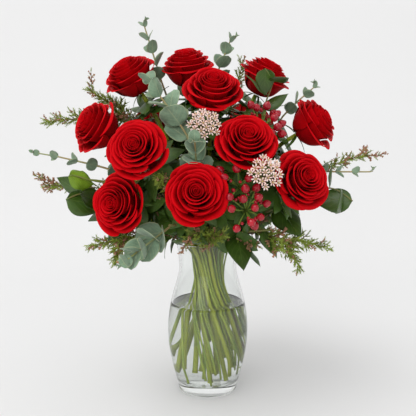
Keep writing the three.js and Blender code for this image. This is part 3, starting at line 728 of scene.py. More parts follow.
class BOUQUET_OT_pour_water(bpy.types.Operator):
    """Pour the water, with its edge drawn up a little against the glass"""

    bl_idname = "bouquet.pour_water"
    bl_label = "Pour the Water"

    def execute(self, context):
        s = context.scene.bouquet_vase
        wall = outer_wall()
        touching = s.wall - 0.08 * MM
        side = inner_wall(wall, touching, s.water_level + 1.1 * MM)
        side[0] = (0.0, VASE["floor"] - 0.08 * MM)
        side = [(r, max(z, VASE["floor"] - 0.08 * MM) if r else z) for r, z in side]
        reach = side[-1][0]
        surface = [(reach - 0.5 * MM, s.water_level + 0.45 * MM), (reach - 1.4 * MM, s.water_level + 0.12 * MM),
                   (reach - 3 * MM, s.water_level), (0.0, s.water_level)]
        bm = turned(side + surface, 128)
        water = clear_material("Water", (0.97, 0.985, 0.965, 1.0), s.water_ior, 0.0, 0.96, 0.8)
        put("vase_water", bm, "water", [water])
        return {"FINISHED"}


# ---------------------------------------------------------------- roses

# One ring of petals for each row, from the heart outwards: how many, radius and height where the rim begins to
# roll back as shares of the bloom's, the roll's radius in millimetres, how far the petal leans out and how far it
# rolls in degrees, and how many times its share of the circle it covers.
PETAL_RINGS = [
    (2, 0.04, 0.925, 0.3, 2, 40, 2.3),
    (3, 0.085, 0.945, 0.4, 5, 50, 2.1),
    (3, 0.145, 0.96, 0.6, 9, 60, 1.9),
    (3, 0.22, 0.97, 0.8, 14, 70, 1.75),
    (3, 0.31, 0.965, 1.0, 20, 78, 1.65),
    (4, 0.415, 0.94, 1.2, 27, 84, 1.6),
    (4, 0.53, 0.89, 1.5, 34, 88, 1.55),
    (5, 0.65, 0.815, 1.9, 42, 92, 1.5),
    (5, 0.775, 0.71, 2.5, 50, 98, 1.42),
    (5, 0.885, 0.575, 3.2, 60, 104, 1.38),
]


def bloom_frame(name):
    """Where a packed bloom stands: its base, its axis, its height and its radius."""
    bm = merged(name)
    poles = sorted(bm.verts, key=lambda v: -len(v.link_edges))[:2]
    stem = merged(name.replace("bloom", "stem"))
    tops = [v.co for v in stem.verts]
    base, crown = sorted((v.co.copy() for v in poles), key=lambda co: min((co - t).length for t in tops))
    axis = (crown - base).normalized()
    height = max((v.co - base).dot(axis) for v in bm.verts)
    radius = max(((v.co - base) - axis * (v.co - base).dot(axis)).length for v in bm.verts)
    bm.free()
    stem.free()
    return base, axis, height, radius


def petal(bm, rng, ring, angle, height, radius, openness):
    """One petal of a ring, standing at the origin with the bloom's axis up."""
    count, reach, lift, roll, lean, curl, cover = ring
    spread = math.pi / count * cover * rng.uniform(0.9, 1.1)
    rim = reach * radius * rng.uniform(0.93, 1.07)
    top = lift * height * rng.uniform(0.96, 1.015)
    roll *= MM * rng.uniform(0.7, 1.4)
    lean = math.radians(lean * openness * rng.uniform(0.8, 1.2))
    curl = math.radians(curl * rng.uniform(0.8, 1.2))
    point = rng.uniform(0.015, 0.05) * (0.3 + reach)
    swirl = rng.uniform(0.07, 0.11)
    skew = rng.uniform(-0.06, 0.06)
    phase = rng.uniform(0, math.tau)
    out, up = math.sin(lean) * 0.36 * top, math.cos(lean) * 0.36 * top
    body = [
        ((0.06 + 0.09 * reach) * radius, 0.03 * height), (max(0.08 * radius, 0.82 * rim), 0.06 * height),
        (max(rim - out, 0.4 * rim), top - up), (rim, top),
    ]

    def place(s, t):
        s *= 1 - 0.26 * abs(t) ** 2.6 + point * math.exp(-(((t - skew) / 0.16) ** 2))
        s *= 1 + 0.012 * math.sin(6 * t + phase) + skew * t
        v = min(1.0, s / ROLL_START)
        w = ((1 - v) ** 3, 3 * v * (1 - v) ** 2, 3 * v * v * (1 - v), v**3)
        r = sum(a * p[0] for a, p in zip(w, body))
        z = sum(a * p[1] for a, p in zip(w, body))
        if s > ROLL_START:
            bend = curl * (s - ROLL_START) / ROLL_SHARE * (0.7 + 0.6 * t * t + 0.2 * math.sin(3 * t + phase))
            r += roll * (math.cos(lean) - math.cos(lean + bend))
            z += roll * (math.sin(lean + bend) - math.sin(lean))
        wave = math.sin(4.3 * t + 2 * phase) + 0.5 * math.sin(8 * t + phase)
        r *= 1 + swirl * t - 0.05 * t * t + 0.014 * wave * s * (0.4 + reach)
        z += 0.5 * MM * wave * s * s * reach
        over = r / radius - 0.98
        if over > 0:
            r = radius * (0.98 + 0.14 * (1 - math.exp(-over / 0.14)))
        grow = min(1.0, s / 0.5)
        a = angle + t * spread * (0.35 + 0.65 * grow * grow * (3 - 2 * grow))
        return Vector((r * math.cos(a), r * math.sin(a), z))

    sheet(bm, 9, 9, place)


class BOUQUET_OT_open_blooms(bpy.types.Operator):
    """Open every rose: rings of overlapping petals, tight at the centre and rolled back outside"""

    bl_idname = "bouquet.open_blooms"
    bl_label = "Open the Blooms"

    def execute(self, context):
        s = context.scene.bouquet_roses
        velvet = petal_material(s)
        for index, name in enumerate(nodes_called("rose_bloom")):
            rng = random.Random(100 + index)
            base, axis, height, radius = bloom_frame(name)
            height, radius = 1.03 * height, 1.08 * radius
            bm = bmesh.new()
            openness = rng.uniform(0.85, 1.15)
            angle = rng.uniform(0, math.tau)
            for ring in PETAL_RINGS:
                angle += rng.uniform(0.7, 1.3)
                for k in range(ring[0]):
                    at = angle + k * math.tau / ring[0] + rng.uniform(-0.2, 0.2)
                    petal(bm, rng, ring, at, height, radius, openness)
            bmesh.ops.transform(bm, matrix=standing(base, axis), verts=bm.verts)
            put(f"petals_{index + 1:02d}", bm, name, [velvet], s.petal_thickness, 1, even=False)
        return {"FINISHED"}


def oval(s):
    """Half width of an oval leaf with a pointed tip."""
    return max(0.0, math.sin(math.pi * s**0.75)) ** 0.85 * (1 - 0.2 * s)


def toothed(s):
    """Half width of an oval leaf with saw teeth."""
    return oval(s) * (0.93 + 0.14 * ((s * 13) % 1.0))


def narrow(s):
    """Half width of a sepal that tapers to a long point."""
    return (1 - s) ** 0.7 * (0.55 + 0.9 * s)


def rose_leaf(bm, rng, at, along, up, size, material):
    """A rose's leaf: five toothed leaflets on one stalk."""
    along = along.normalized()
    side = up.cross(along).normalized()
    stalk = [(at + along * size * k * 0.5 - up * size * 0.05 * k * k, 0.6 * MM) for k in (0, 1, 2, 2.6)]
    tube(bm, stalk, 5, 0)
    spots = [(1.0, 1), (1.0, -1), (1.9, 1), (1.9, -1), (2.6, 0)]
    for reach, sign in spots:
        start = at + along * size * reach * 0.5 - up * size * 0.05 * reach**2
        way = (along + side * sign * 1.3 + up * rng.uniform(-0.15, 0.2)).normalized()
        length = size * rng.uniform(0.75, 0.95) * (1.15 if sign == 0 else 0.9)
        face = (up + Vector([rng.uniform(-0.25, 0.25) for _ in range(3)])).normalized()
        blade(bm, start, way, face, length, length * 0.66, toothed, 13, 4, -0.12, rng.uniform(0.05, 0.22), 0.02,
              material)


class BOUQUET_OT_grow_rose_stems(bpy.types.Operator):
    """Grow the rose stems with their sepals and toothed leaves"""

    bl_idname = "bouquet.grow_rose_stems"
    bl_label = "Grow the Rose Stems"

    def execute(self, context):
        s = context.scene.bouquet_roses
        stem = stem_material("Rose Stem", colour(s.stem_colour), colour(s.stem_colour, 0.7))
        leaf = leaf_material(
            "Rose Leaf", colour(s.leaf_colour, 1.3), colour(s.leaf_colour, 0.8), (0.09, 0.16, 0.03, 1),
            {"Count": 9.0, "Slant": 0.7, "Rib Width": 0.03}, Roughness=0.42, Specular_IOR_Level=0.4,
        )
        for index, name in enumerate(nodes_called("rose_stem")):
            rng = random.Random(300 + index)
            base, axis, _, radius = bloom_frame(name.replace("stem", "bloom"))
            packed = merged(name)
            line = stem_line(packed, lambda p, _: (p - base).length < 6 * MM or (p - base).dot(axis) > 0)
            packed.free()
            bm = bmesh.new()
            points = thinned(line, 5 * MM)
            points[-1] = (base, points[-2][1])
            tube(bm, points, 12, 0)
            tube(bm, [(points[0][0] + tangent(points, 0) * d * MM, points[0][1] * w)
                      for d, w in ((-0.1, 0.9), (0.3, 1.05), (1.2, 1.02))], 12, 0)
            turn = rng.uniform(0, math.tau)
            side = axis.orthogonal().normalized()
            for k in range(5):
                out = Quaternion(axis, turn + k * math.tau / 5) @ side
                way = (out * 1.0 - axis * rng.uniform(-0.35, 0.55)).normalized()
                blade(bm, base + out * 4.5 * MM, way, axis + out * 0.3, rng.uniform(17, 24) * MM, 6 * MM, narrow,
                      7, 2, 0.2, rng.uniform(0.1, 0.4), 0.0, 1)
            high = [i for i, (p, _) in enumerate(line) if p.z > VASE["height"] + 8 * MM
                    and (p - base).length > 0.75 * radius]
            turn = rng.uniform(0, math.tau)
            for i in high[::7]:
                turn += GOLDEN
                point, tan = line[i][0], tangent(line, i)
                out = Quaternion(tan, turn) @ tan.orthogonal().normalized()
                way = (out + tan * rng.uniform(0.2, 0.8) + Vector((0, 0, rng.uniform(-0.3, 0.1)))).normalized()
                away = (point - HEART).normalized()
                rose_leaf(bm, rng, point, way, (away + tan * 0.4).normalized(), rng.uniform(24, 34) * MM, 1)
            for k in range(13):
                turn += GOLDEN
                at = base - axis * rng.uniform(12, 40) * MM
                out = Quaternion(axis, turn) @ side
                away = (at - HEART).normalized()
                size = rng.uniform(34, 48) * MM
                blade(bm, at, out + axis * rng.uniform(-0.1, 0.45), away + axis * 0.3, size, size * 0.62, toothed,
                      13, 4, -0.12, rng.uniform(0.1, 0.35), 0.03, 1)
            put(f"rose_stalk_{index + 1:02d}", bm, name, [stem, leaf])
        return {"FINISHED"}


def stem_material(name, one, two):
    """A fresh green stem, streaked along its length."""
    made, nodes, shader = start_material(name, Roughness=0.38, Specular_IOR_Level=0.45)
    place = nodes.place()
    drawn = nodes.add("Mapping", {"Vector": place, "Scale": (1.0, 1.0, 0.12)})
    streaks = nodes.add("TexNoise", {"Vector": drawn.outputs[0], "Scale": 420.0, "Detail": 3.0})
    patches = place_group(nodes, mottle_group(), {"Scale": 35.0})["Patches"]
    share = nodes.math("MULTIPLY", nodes.math("ADD", streaks.outputs["Fac"], patches), 0.5)
    nodes.set(shader.inputs["Base Color"], nodes.mix(share, two, one))
    nodes.relief(shader, 0.25, 0.2 * MM, streaks.outputs["Fac"])
    return made


# ---------------------------------------------------------------- greenery


def read_sprig(name, least=25, slender=0.03):
    """A packed sprig's centreline, and its leaves as (base, along, up, length, width)."""
    bm = merged(name)
    line = stem_line(bm)
    leaves = []
    for pair in leaf_plates(bm, least * MM * MM, slender):
        centre = (pair[0][1] + pair[1][1]) / 2
        outline = pair[0][0]
        i = min(range(len(line)), key=lambda k: min((line[k][0] - p).length for p in outline))
        base, tan = line[i][0], tangent(line, i)
        out = (centre - base).normalized()
        normal = max((pair[0][2], pair[1][2]), key=lambda n: n.dot(tan * 0.7 + out * 0.2 + UP * 0.5))
        along = (out - normal * out.dot(normal)).normalized()
        side = normal.cross(along)
        length = max((p - base).dot(along) for p in outline)
        width = 2 * max(abs((p - base).dot(side)) for p in outline)
        leaves.append((base, along, normal, length, width))
    bm.free()
    return line, leaves


def round_leaf(s):
    """Half width of an almost round leaf."""
    return math.sqrt(max(0.0, 1 - abs(2 * s - 1) ** 2.2)) * (1.06 - 0.12 * s)


def pointed_leaf(s):
    """Half width of a broad leaf with a drawn-out tip."""
    return max(0.0, math.sin(math.pi * s**0.62)) ** 0.95


class BOUQUET_OT_grow_eucalyptus(bpy.types.Operator):
    """Grow the eucalyptus: thin tan stems with opposite round waxy leaves"""

    bl_idname = "bouquet.grow_eucalyptus"
    bl_label = "Grow the Eucalyptus"

    def execute(self, context):
        s = context.scene.bouquet_greenery
        wax = leaf_material(
            "Eucalyptus Leaf", colour(s.eucalyptus, 1.25), colour(s.eucalyptus, 0.75), (0.42, 0.46, 0.27, 1),
            {"Count": 6.0, "Slant": 0.9, "Rib Width": 0.035}, 60.0, 0.5, 0.25, (0.42, 0.46, 0.25, 1),
            Roughness=0.6, Specular_IOR_Level=0.3, Sheen_Weight=0.25, Sheen_Roughness=0.4,
        )
        bark = bark_material("Eucalyptus Stem", (0.35, 0.24, 0.1, 1), (0.3, 0.33, 0.16, 1))
        for index, name in enumerate(nodes_called("eucalyptus")):
            rng = random.Random(500 + index)
            line, leaves = read_sprig(name)
            bm = bmesh.new()
            last = len(line) - 1
            taper = [(p, min(r, 1.7 * MM) * (1 - 0.6 * (k / last) ** 3)) for k, (p, r) in enumerate(line)]
            tube(bm, thinned(taper, 4 * MM), 7, 1)
            for base, along, normal, length, width in leaves:
                away = (base - HEART).normalized()
                normal = (normal + away * 0.9).normalized()
                size = max(length, width) * (1.42 if name[-1] in "567" else 1.16)
                blade(bm, base, along, normal, size, size * rng.uniform(0.86, 1.0), round_leaf, 8, 6,
                      rng.uniform(0.04, 0.16), rng.uniform(-0.05, 0.12), 0.015)
            tip, way = line[-1][0], tangent(line, last)
            for k in range(4):
                out = Quaternion(way, k * math.pi / 2 + 0.4) @ way.orthogonal().normalized()
                size = (6.5 if k % 2 else 4.5) * MM
                blade(bm, tip - way * 1.5 * MM, way + out * 0.5, way * 0.3 - out, size, size * 0.6, round_leaf,
                      5, 4, 0.2)
            put(f"eucalyptus_sprig_{index + 1:02d}", bm, name, [wax, bark], s.leaf_thickness)
        return {"FINISHED"}


class BOUQUET_OT_grow_salal(bpy.types.Operator):
    """Grow the salal: broad glossy leaves with a drawn-out tip"""

    bl_idname = "bouquet.grow_salal"
    bl_label = "Grow the Salal"

    def execute(self, context):
        s = context.scene.bouquet_greenery
        gloss = leaf_material(
            "Salal Leaf", colour(s.salal, 1.4), colour(s.salal, 0.8), (0.11, 0.17, 0.035, 1),
            {"Count": 6.0, "Slant": 0.8, "Rib Width": 0.022}, 45.0, 0.55, 0.5, Roughness=0.34,
            Specular_IOR_Level=0.45,
        )
        bark = bark_material("Salal Stem", (0.2, 0.15, 0.05, 1), (0.12, 0.18, 0.04, 1))
        for index, name in enumerate(nodes_called("salal")):
            rng = random.Random(700 + index)
            line, leaves = read_sprig(name, 200)
            bm = bmesh.new()
            tube(bm, slimmed(line, 1.6 * MM), 7, 1)
            for base, along, normal, length, width in leaves:
                if name == "salal_05":
                    length, width = 0.6 * length, 0.7 * width
                blade(bm, base, along, normal, length, width * 1.1, pointed_leaf, 14, 8, rng.uniform(-0.16, -0.05),
                      rng.uniform(0.05, 0.25), 0.02)
            free = [i for i, (p, _) in enumerate(line) if p.z > VASE["height"] + 8 * MM]
            turn = rng.uniform(0, math.tau)
            for i in free[:-8:12]:
                turn += GOLDEN
                tan = tangent(line, i)
                out = Quaternion(tan, turn) @ tan.orthogonal().normalized()
                away = (line[i][0] - HEART).normalized()
                size = rng.uniform(34, 46) * MM
                blade(bm, line[i][0], out + tan * 0.7, away + tan * 0.3, size, size * 0.6, pointed_leaf, 12, 6, -0.1,
                      rng.uniform(0.1, 0.3), 0.02)
            put(f"salal_sprig_{index + 1:02d}", bm, name, [gloss, bark], s.leaf_thickness)
        return {"FINISHED"}


class BOUQUET_OT_grow_ivy(bpy.types.Operator):
    """Grow the bright toothed leaves"""

    bl_idname = "bouquet.grow_ivy"
    bl_label = "Grow the Bright Leaves"

    def execute(self, context):
        s = context.scene.bouquet_greenery
        bright = leaf_material(
            "Bright Leaf", colour(s.bright_leaf, 1.25), colour(s.bright_leaf, 0.8), (0.32, 0.42, 0.06, 1),
            {"Count": 8.0, "Slant": 0.9, "Rib Width": 0.03}, 60.0, 0.5, 1.0, Roughness=0.55,
        )
        bark = bark_material("Bright Leaf Stem", (0.15, 0.25, 0.03, 1), (0.2, 0.2, 0.05, 1))
        for index, name in enumerate(nodes_called("ivy")):
            rng = random.Random(800 + index)
            line, leaves = read_sprig(name, 120)
            bm = bmesh.new()
            tube(bm, slimmed(line, 1.5 * MM), 7, 1)
            for base, along, normal, length, width in leaves:
                blade(bm, base, along, normal, length, width * 1.1, toothed, 15, 6, -0.12, rng.uniform(0.1, 0.3), 0.05)
            put(f"bright_sprig_{index + 1:02d}", bm, name, [bright, bark], s.leaf_thickness)
        return {"FINISHED"}


# Heath twiglets are stamped from a few shapes that point along +Z.


def twiglet(seed, florets):
    """A side twig of heath, one unit long: a few needles round it, or florets where it has flowered."""
    rng = random.Random(seed)
    bm = bmesh.new()

    def spike(at, way, size, low, high, sides, material):
        made = bmesh.ops.create_cone(bm, cap_ends=True, segments=sides, radius1=low, radius2=high, depth=size)
        bmesh.ops.transform(bm, matrix=standing(at + way * size * 0.5, way), verts=made["verts"])
        for face in faces_of(made["verts"]):
            face.material_index = material

    spike(Vector(), UP, 1.0, 0.05, 0.03, 3, 1 if florets else 0)
    for k in range(8 if florets else 11):
        z = 0.1 + 0.86 * k / (8 if florets else 11)
        turn = k * GOLDEN + rng.uniform(-0.3, 0.3)
        lean = rng.uniform(0.7, 1.0) * (1 - 0.5 * z)
        way = Vector((math.cos(turn) * math.sin(lean), math.sin(turn) * math.sin(lean), math.cos(lean)))
        if florets and rng.random() < 0.7:
            spike(Vector((0, 0, z)), way, rng.uniform(0.22, 0.3), 0.045, 0.11, 4, 2)
        else:
            spike(Vector((0, 0, z)), way, rng.uniform(0.34, 0.5), 0.062, 0.0, 3, 0)
    return as_shape(bm, "twiglet")


def loose_ends(bm, line):
    """Where a packed sprig's side plumes end: vertices further along the mesh than all their neighbours."""
    start = min(bm.verts, key=lambda v: v.co.z)
    gone = {start: 0.0}
    front = [start]
    while front:
        following = []
        for vert in front:
            for edge in vert.link_edges:
                other = edge.other_vert(vert)
                far = gone[vert] + edge.calc_length()
                if far < gone.get(other, 1e9) - 1e-7:
                    gone[other] = far
                    following.append(other)
        front = following
    ends = []
    for vert in bm.verts:
        if any(gone[e.other_vert(vert)] > gone[vert] for e in vert.link_edges):
            continue
        near_line = min((vert.co - p).length for p, _ in line)
        if near_line > 12 * MM and all((vert.co - end.co).length > 6 * MM for end in ends):
            ends.append(vert)
    return ends


def side_lines(bm, line):
    """Centrelines of the side plumes, each from its tip back to the main stem."""
    tree = BVHTree.FromBMesh(bm)
    found = []
    for end in loose_ends(bm, line):
        ring = [v.co for v in bm.verts if (v.co - end.co).length < 3 * MM]
        start = middle(ring)
        beyond = [e.other_vert(end).co for e in end.link_edges if (e.other_vert(end).co - end.co).length > 4 * MM]
        if not beyond:
            continue
        heading = (middle(beyond) - start).normalized()
        side = follow(tree, start, heading, 1 * MM, lambda p, _: min((p - q).length for q, _ in line) < 1.2 * MM)
        if len(side) > 6:
            found.append(list(reversed(side)))
    return found


class BOUQUET_OT_grow_heath(bpy.types.Operator):
    """Grow the heath: brown stems feathered with short green needles and dried florets"""

    bl_idname = "bouquet.grow_heath"
    bl_label = "Grow the Heath"

    def execute(self, context):
        s = context.scene.bouquet_greenery
        green = plain_material("Heath Needle", colour(s.heath, 1.2), colour(s.heath, 0.6), 90.0, Roughness=0.6)
        bark = bark_material("Heath Stem", (0.2, 0.09, 0.04, 1), (0.12, 0.08, 0.03, 1))
        dried = plain_material("Heath Floret", colour(s.florets, 1.25), colour(s.florets, 0.6), 200.0, Roughness=0.75)
        shapes = [[twiglet(k + 10 * kind, kind) for k in range(4)] for kind in (0, 1)]

        def feather(bm, rng, branch, brown, gap, reach_of):
            """Sets twiglets along a branch, each at its own turn about it."""
            turn, gone = rng.uniform(0, math.tau), 0.0
            for k in range(1, len(branch)):
                gone += (branch[k][0] - branch[k - 1][0]).length
                if gone < gap:
                    continue
                gone = 0.0
                turn += GOLDEN
                way = tangent(branch, k)
                share = k / (len(branch) - 1)
                out = Quaternion(way, turn) @ way.orthogonal().normalized()
                lean = rng.uniform(0.65, 0.95) * (1 - 0.6 * share**4)
                aim = (way * math.cos(lean) + out * math.sin(lean)).normalized()
                size = reach_of(share, branch[k][1]) * rng.uniform(0.85, 1.15)
                shape = shapes[1 if rng.random() < brown else 0][rng.randrange(4)]
                spin = Matrix.Rotation(rng.uniform(0, math.tau), 4, "Z")
                stamp(bm, shape, standing(branch[k][0], aim) @ spin @ Matrix.Scale(size, 4))

        for index, name in enumerate(nodes_called("heath")):
            rng = random.Random(900 + index)
            packed = merged(name)
            line = stem_line(packed)
            plumes = [line] + side_lines(packed, line)
            packed.free()
            bm = bmesh.new()
            for plume in plumes:
                last = len(plume) - 1
                stem = [(p, min(r, 1.5 * MM) * (1 - 0.65 * (k / last) ** 2)) for k, (p, r) in enumerate(plume)]
                tube(bm, thinned(stem, 5 * MM), 6, 1)
                leafy = [k for k, (p, r) in enumerate(plume) if outside_vase(p) and (r > 2.2 * MM or k > 0.85 * last)]
                if not leafy:
                    continue
                feather(bm, rng, plume[leafy[0]:], 0.1, 1.5 * MM, lambda share, r: max(9.5 * MM, 1.6 * r))
                for k in leafy[::4]:
                    way = tangent(plume, k)
                    out = Quaternion(way, rng.uniform(0, math.tau)) @ way.orthogonal().normalized()
                    self.side_branch(bm, rng, plume[k][0], (way + out * 0.8).normalized(),
                                     rng.uniform(16, 27) * MM * (1 - 0.6 * k / last), 0.25, feather)
            bare = [k for k, (p, r) in enumerate(line) if p.z > VASE["height"] + 6 * MM and r < 2.2 * MM]
            for k in bare[::4]:
                way = tangent(line, k)
                out = Quaternion(way, k * GOLDEN) @ way.orthogonal().normalized()
                self.side_branch(bm, rng, line[k][0], (way * 0.6 + out).normalized(), rng.uniform(24, 40) * MM, 0.8,
                                 feather)
            put(f"heath_sprig_{index + 1:02d}", bm, name, [green, bark, dried])
        return {"FINISHED"}

    @staticmethod
    def side_branch(bm, rng, start, way, length, brown, feather):
        """One curved side branch with its twiglets."""
        sag = Vector((0, 0, rng.uniform(-0.1, 0.3))) * length
        count = max(4, round(length / (2 * MM)))
        branch = [(start + way * length * k / count + sag * (k / count) ** 2, 0.6 * MM) for k in range(count + 1)]
        tube(bm, branch[::3] + [branch[-1]], 3, 1)
        feather(bm, rng, branch[count // 4:], brown, 1.9 * MM, lambda share, r: (8.5 - 2.5 * share) * MM)


def outside_vase(point):
    """Whether a point is past the rim or well above it."""
    return point.z > VASE["height"] + 6 * MM or math.hypot(point.x, point.y) > VASE["rim"] + 4 * MM


def berry_shape():
    """One hypericum berry of unit radius, with its small beak, on a calyx of five sepals."""
    bm = bmesh.new()
    made = bmesh.ops.create_uvsphere(bm, u_segments=12, v_segments=9, radius=1.0)
    for v in made["verts"]:
        if v.co.z > 0.9:
            v.co.z += 0.16
        v.co.z *= 1.06
    for face in bm.faces:
        face.smooth = True
    for k in range(5):
        turn = k * math.tau / 5
        out = Vector((math.cos(turn), math.sin(turn), 0))
        blade(bm, Vector((0, 0, -1.02)) + out * 0.1, out + UP * 0.25, UP - out * 0.3, 0.95, 0.55, oval, 4, 2, 0.1,
              -0.35, 0.0, 1)
    return as_shape(bm, "berry")


def packed_berries(bm):
    """Centre and radius of every ball on a packed spray, from its equal-sided facets."""
    found = []
    for face in bm.faces:
        sides = [e.calc_length() for e in face.edges]
        if len(sides) != 3 or max(sides) - min(sides) > 0.03 * MM or not 2 * MM < sides[0] < 9 * MM:
            continue
        centre = face.calc_center_median() - face.normal * BERRY_INNER * sides[0]
        if all((centre - other).length > 1 * MM for other, _ in found):
            found.append((centre, BERRY_OUTER * sides[0]))
    return found


class BOUQUET_OT_grow_hypericum(bpy.types.Operator):
    """Grow the hypericum: glossy red berries on forked green stalks"""

    bl_idname = "bouquet.grow_hypericum"
    bl_label = "Grow the Hypericum"

    def execute(self, context):
        s = context.scene.bouquet_greenery
        red = plain_material(
            "Berry", colour(s.berry, 1.1), colour(s.berry, 0.7), 120.0, 300.0, 0.05, Roughness=0.24, Coat_Weight=0.15
        )
        green = plain_material("Calyx", (0.13, 0.24, 0.03, 1), (0.22, 0.3, 0.05, 1), 200.0, Roughness=0.45)
        leaf = leaf_material(
            "Hypericum Leaf", (0.06, 0.13, 0.02, 1), (0.03, 0.08, 0.012, 1), (0.12, 0.2, 0.05, 1),
            {"Count": 5.0, "Slant": 0.6, "Rib Width": 0.03}, Roughness=0.45,
        )
        shape = berry_shape()
        for index, name in enumerate(nodes_called("hypericum")):
            rng = random.Random(1100 + index)
            packed = merged(name)
            line = stem_line(packed)
            berries = packed_berries(packed)
            packed.free()
            centre = middle(c for c, _ in berries)
            fork_at = min(range(len(line)), key=lambda k: abs((line[k][0] - centre).length - 22 * MM))
            stem = slimmed(line[:fork_at + 1], 1.7 * MM)
            bm = bmesh.new()
            tube(bm, stem, 7, 1)
            fork = stem[-1][0]
            for spot, radius in berries:
                way = (spot - fork).normalized()
                bend = fork.lerp(spot, 0.55) + Vector([rng.uniform(-2, 2) * MM for _ in range(3)])
                face = (spot - bend).normalized()
                under = spot - face * radius
                points = [(fork, 0.95 * MM), (fork.lerp(bend, 0.6), 0.85 * MM), (bend, 0.75 * MM), (under, 0.7 * MM)]
                tube(bm, points, 5, 1)
                size = radius * rng.uniform(1.0, 1.18)
                turn = Matrix.Rotation(rng.uniform(0, 6), 4, "Z")
                stamp(bm, shape, standing(spot, face) @ turn @ Matrix.Scale(size, 4))
                bud = bend + Vector([rng.uniform(-5, 5) * MM for _ in range(3)]) + way * 4 * MM
                aim = (bud - bend).normalized()
                tube(bm, [(bend, 0.6 * MM), (bud, 0.55 * MM)], 4, 1)
                stamp(bm, shape, standing(bud, aim) @ Matrix.Scale(rng.uniform(0.35, 0.6) * radius, 4))
            for k in range(6):
                way = tangent(stem, len(stem) - 1)
                out = Quaternion(way, k * 1.3) @ way.orthogonal().normalized()
                at = fork - way * (3 + 5 * (k // 2)) * MM
                blade(bm, at, out + way * 0.7, way - out * 0.2, 24 * MM, 12 * MM, oval, 8, 4, 0.1, 0.2, 0.0, 2)
            put(f"hypericum_spray_{index + 1:02d}", bm, name, [red, green, leaf])
        return {"FINISHED"}


def floret_shape():
    """One small flower of unit size: seven clubbed petals spreading from a green cup."""
    bm = bmesh.new()
    for k in range(7):
        turn = k * math.tau / 6
        lean = 0.85 if k < 6 else 0.0
        way = Vector((math.cos(turn) * math.sin(lean), math.sin(turn) * math.sin(lean), math.cos(lean)))
        made = bmesh.ops.create_icosphere(bm, subdivisions=1, radius=0.5)
        squeeze = Matrix.Diagonal((0.4, 0.3, 1.0, 1.0))
        at = way * (0.62 if k < 6 else 0.35)
        for v in made["verts"]:
            wide = 1 + 0.5 * v.co.z
            v.co.x *= wide
            v.co.y *= wide
        bmesh.ops.transform(bm, matrix=standing(at, way) @ squeeze, verts=made["verts"])
        for face in faces_of(made["verts"]):
            face.smooth = True
            face.material_index = 0 if k < 6 else 2
    made = bmesh.ops.create_cone(bm, cap_ends=True, segments=6, radius1=0.06, radius2=0.2, depth=0.5)
    bmesh.ops.translate(bm, vec=(0, 0, -0.1), verts=made["verts"])
    for face in faces_of(made["verts"]):
        face.material_index = 1
    return as_shape(bm, "floret")


class BOUQUET_OT_grow_rice_flower(bpy.types.Operator):
    """Grow the rice flower: domed heads of small pale clubbed petals"""

    bl_idname = "bouquet.grow_rice_flower"
    bl_label = "Grow the Rice Flower"

    def execute(self, context):
        s = context.scene.bouquet_greenery
        pale = plain_material(
            "Rice Flower Petal", colour(s.rice_flower, 1.05), (0.82, 0.56, 0.5, 1), 260.0, Roughness=0.55,
            Subsurface_Weight=0.1, Subsurface_Scale=0.6 * MM,
        )
        green = plain_material("Rice Flower Stalk", (0.2, 0.28, 0.06, 1), (0.3, 0.22, 0.08, 1), 90.0, Roughness=0.6)
        heart = plain_material("Rice Flower Heart", (0.5, 0.42, 0.12, 1), (0.55, 0.3, 0.18, 1), 300.0, Roughness=0.6)
        shape = floret_shape()
        for index, name in enumerate(nodes_called("rice_flower")):
            rng = random.Random(1300 + index)
            packed = merged(name)
            line = stem_line(packed, lambda p, r: r > 3 * MM)
            fork = line[-1][0]
            free = [v.co for v in packed.verts if v.co.z > VASE["height"]]
            head = [co for co in free if min((co - p).length for p, _ in line[::4] + line[-1:]) > 4 * MM]
            way = (middle(head) - fork).normalized()
            wide = max(((co - fork) - way * (co - fork).dot(way)).length for co in head)
            deep = max((co - fork).dot(way) for co in head)
            packed.free()
            bm = bmesh.new()
            tube(bm, slimmed(line, 1.6 * MM), 7, 1)
            count = 21
            for k in range(count):
                share = math.sqrt((k + 0.4) / count)
                out = Quaternion(way, k * GOLDEN) @ way.orthogonal().normalized()
                rise = math.sqrt(max(0.0, 1 - (0.8 * share) ** 2))
                spot = fork + out * share * 1.02 * wide + way * deep * (0.2 + 0.75 * rise) * rng.uniform(0.94, 1.03)
                aim = (out * share * 0.9 + way).normalized()
                bend = fork.lerp(spot, 0.5) + way * 1.5 * MM
                tube(bm, [(fork, 0.5 * MM), (bend, 0.45 * MM), (spot, 0.4 * MM)], 4, 1)
                spin = Matrix.Rotation(rng.uniform(0, math.tau), 4, "Z")
                stamp(bm, shape, standing(spot, aim) @ spin @ Matrix.Scale(rng.uniform(5.0, 6.0) * MM, 4))
            put(f"rice_flower_head_{index + 1:02d}", bm, name, [pale, green, heart])
        return {"FINISHED"}


# ---------------------------------------------------------------- stage


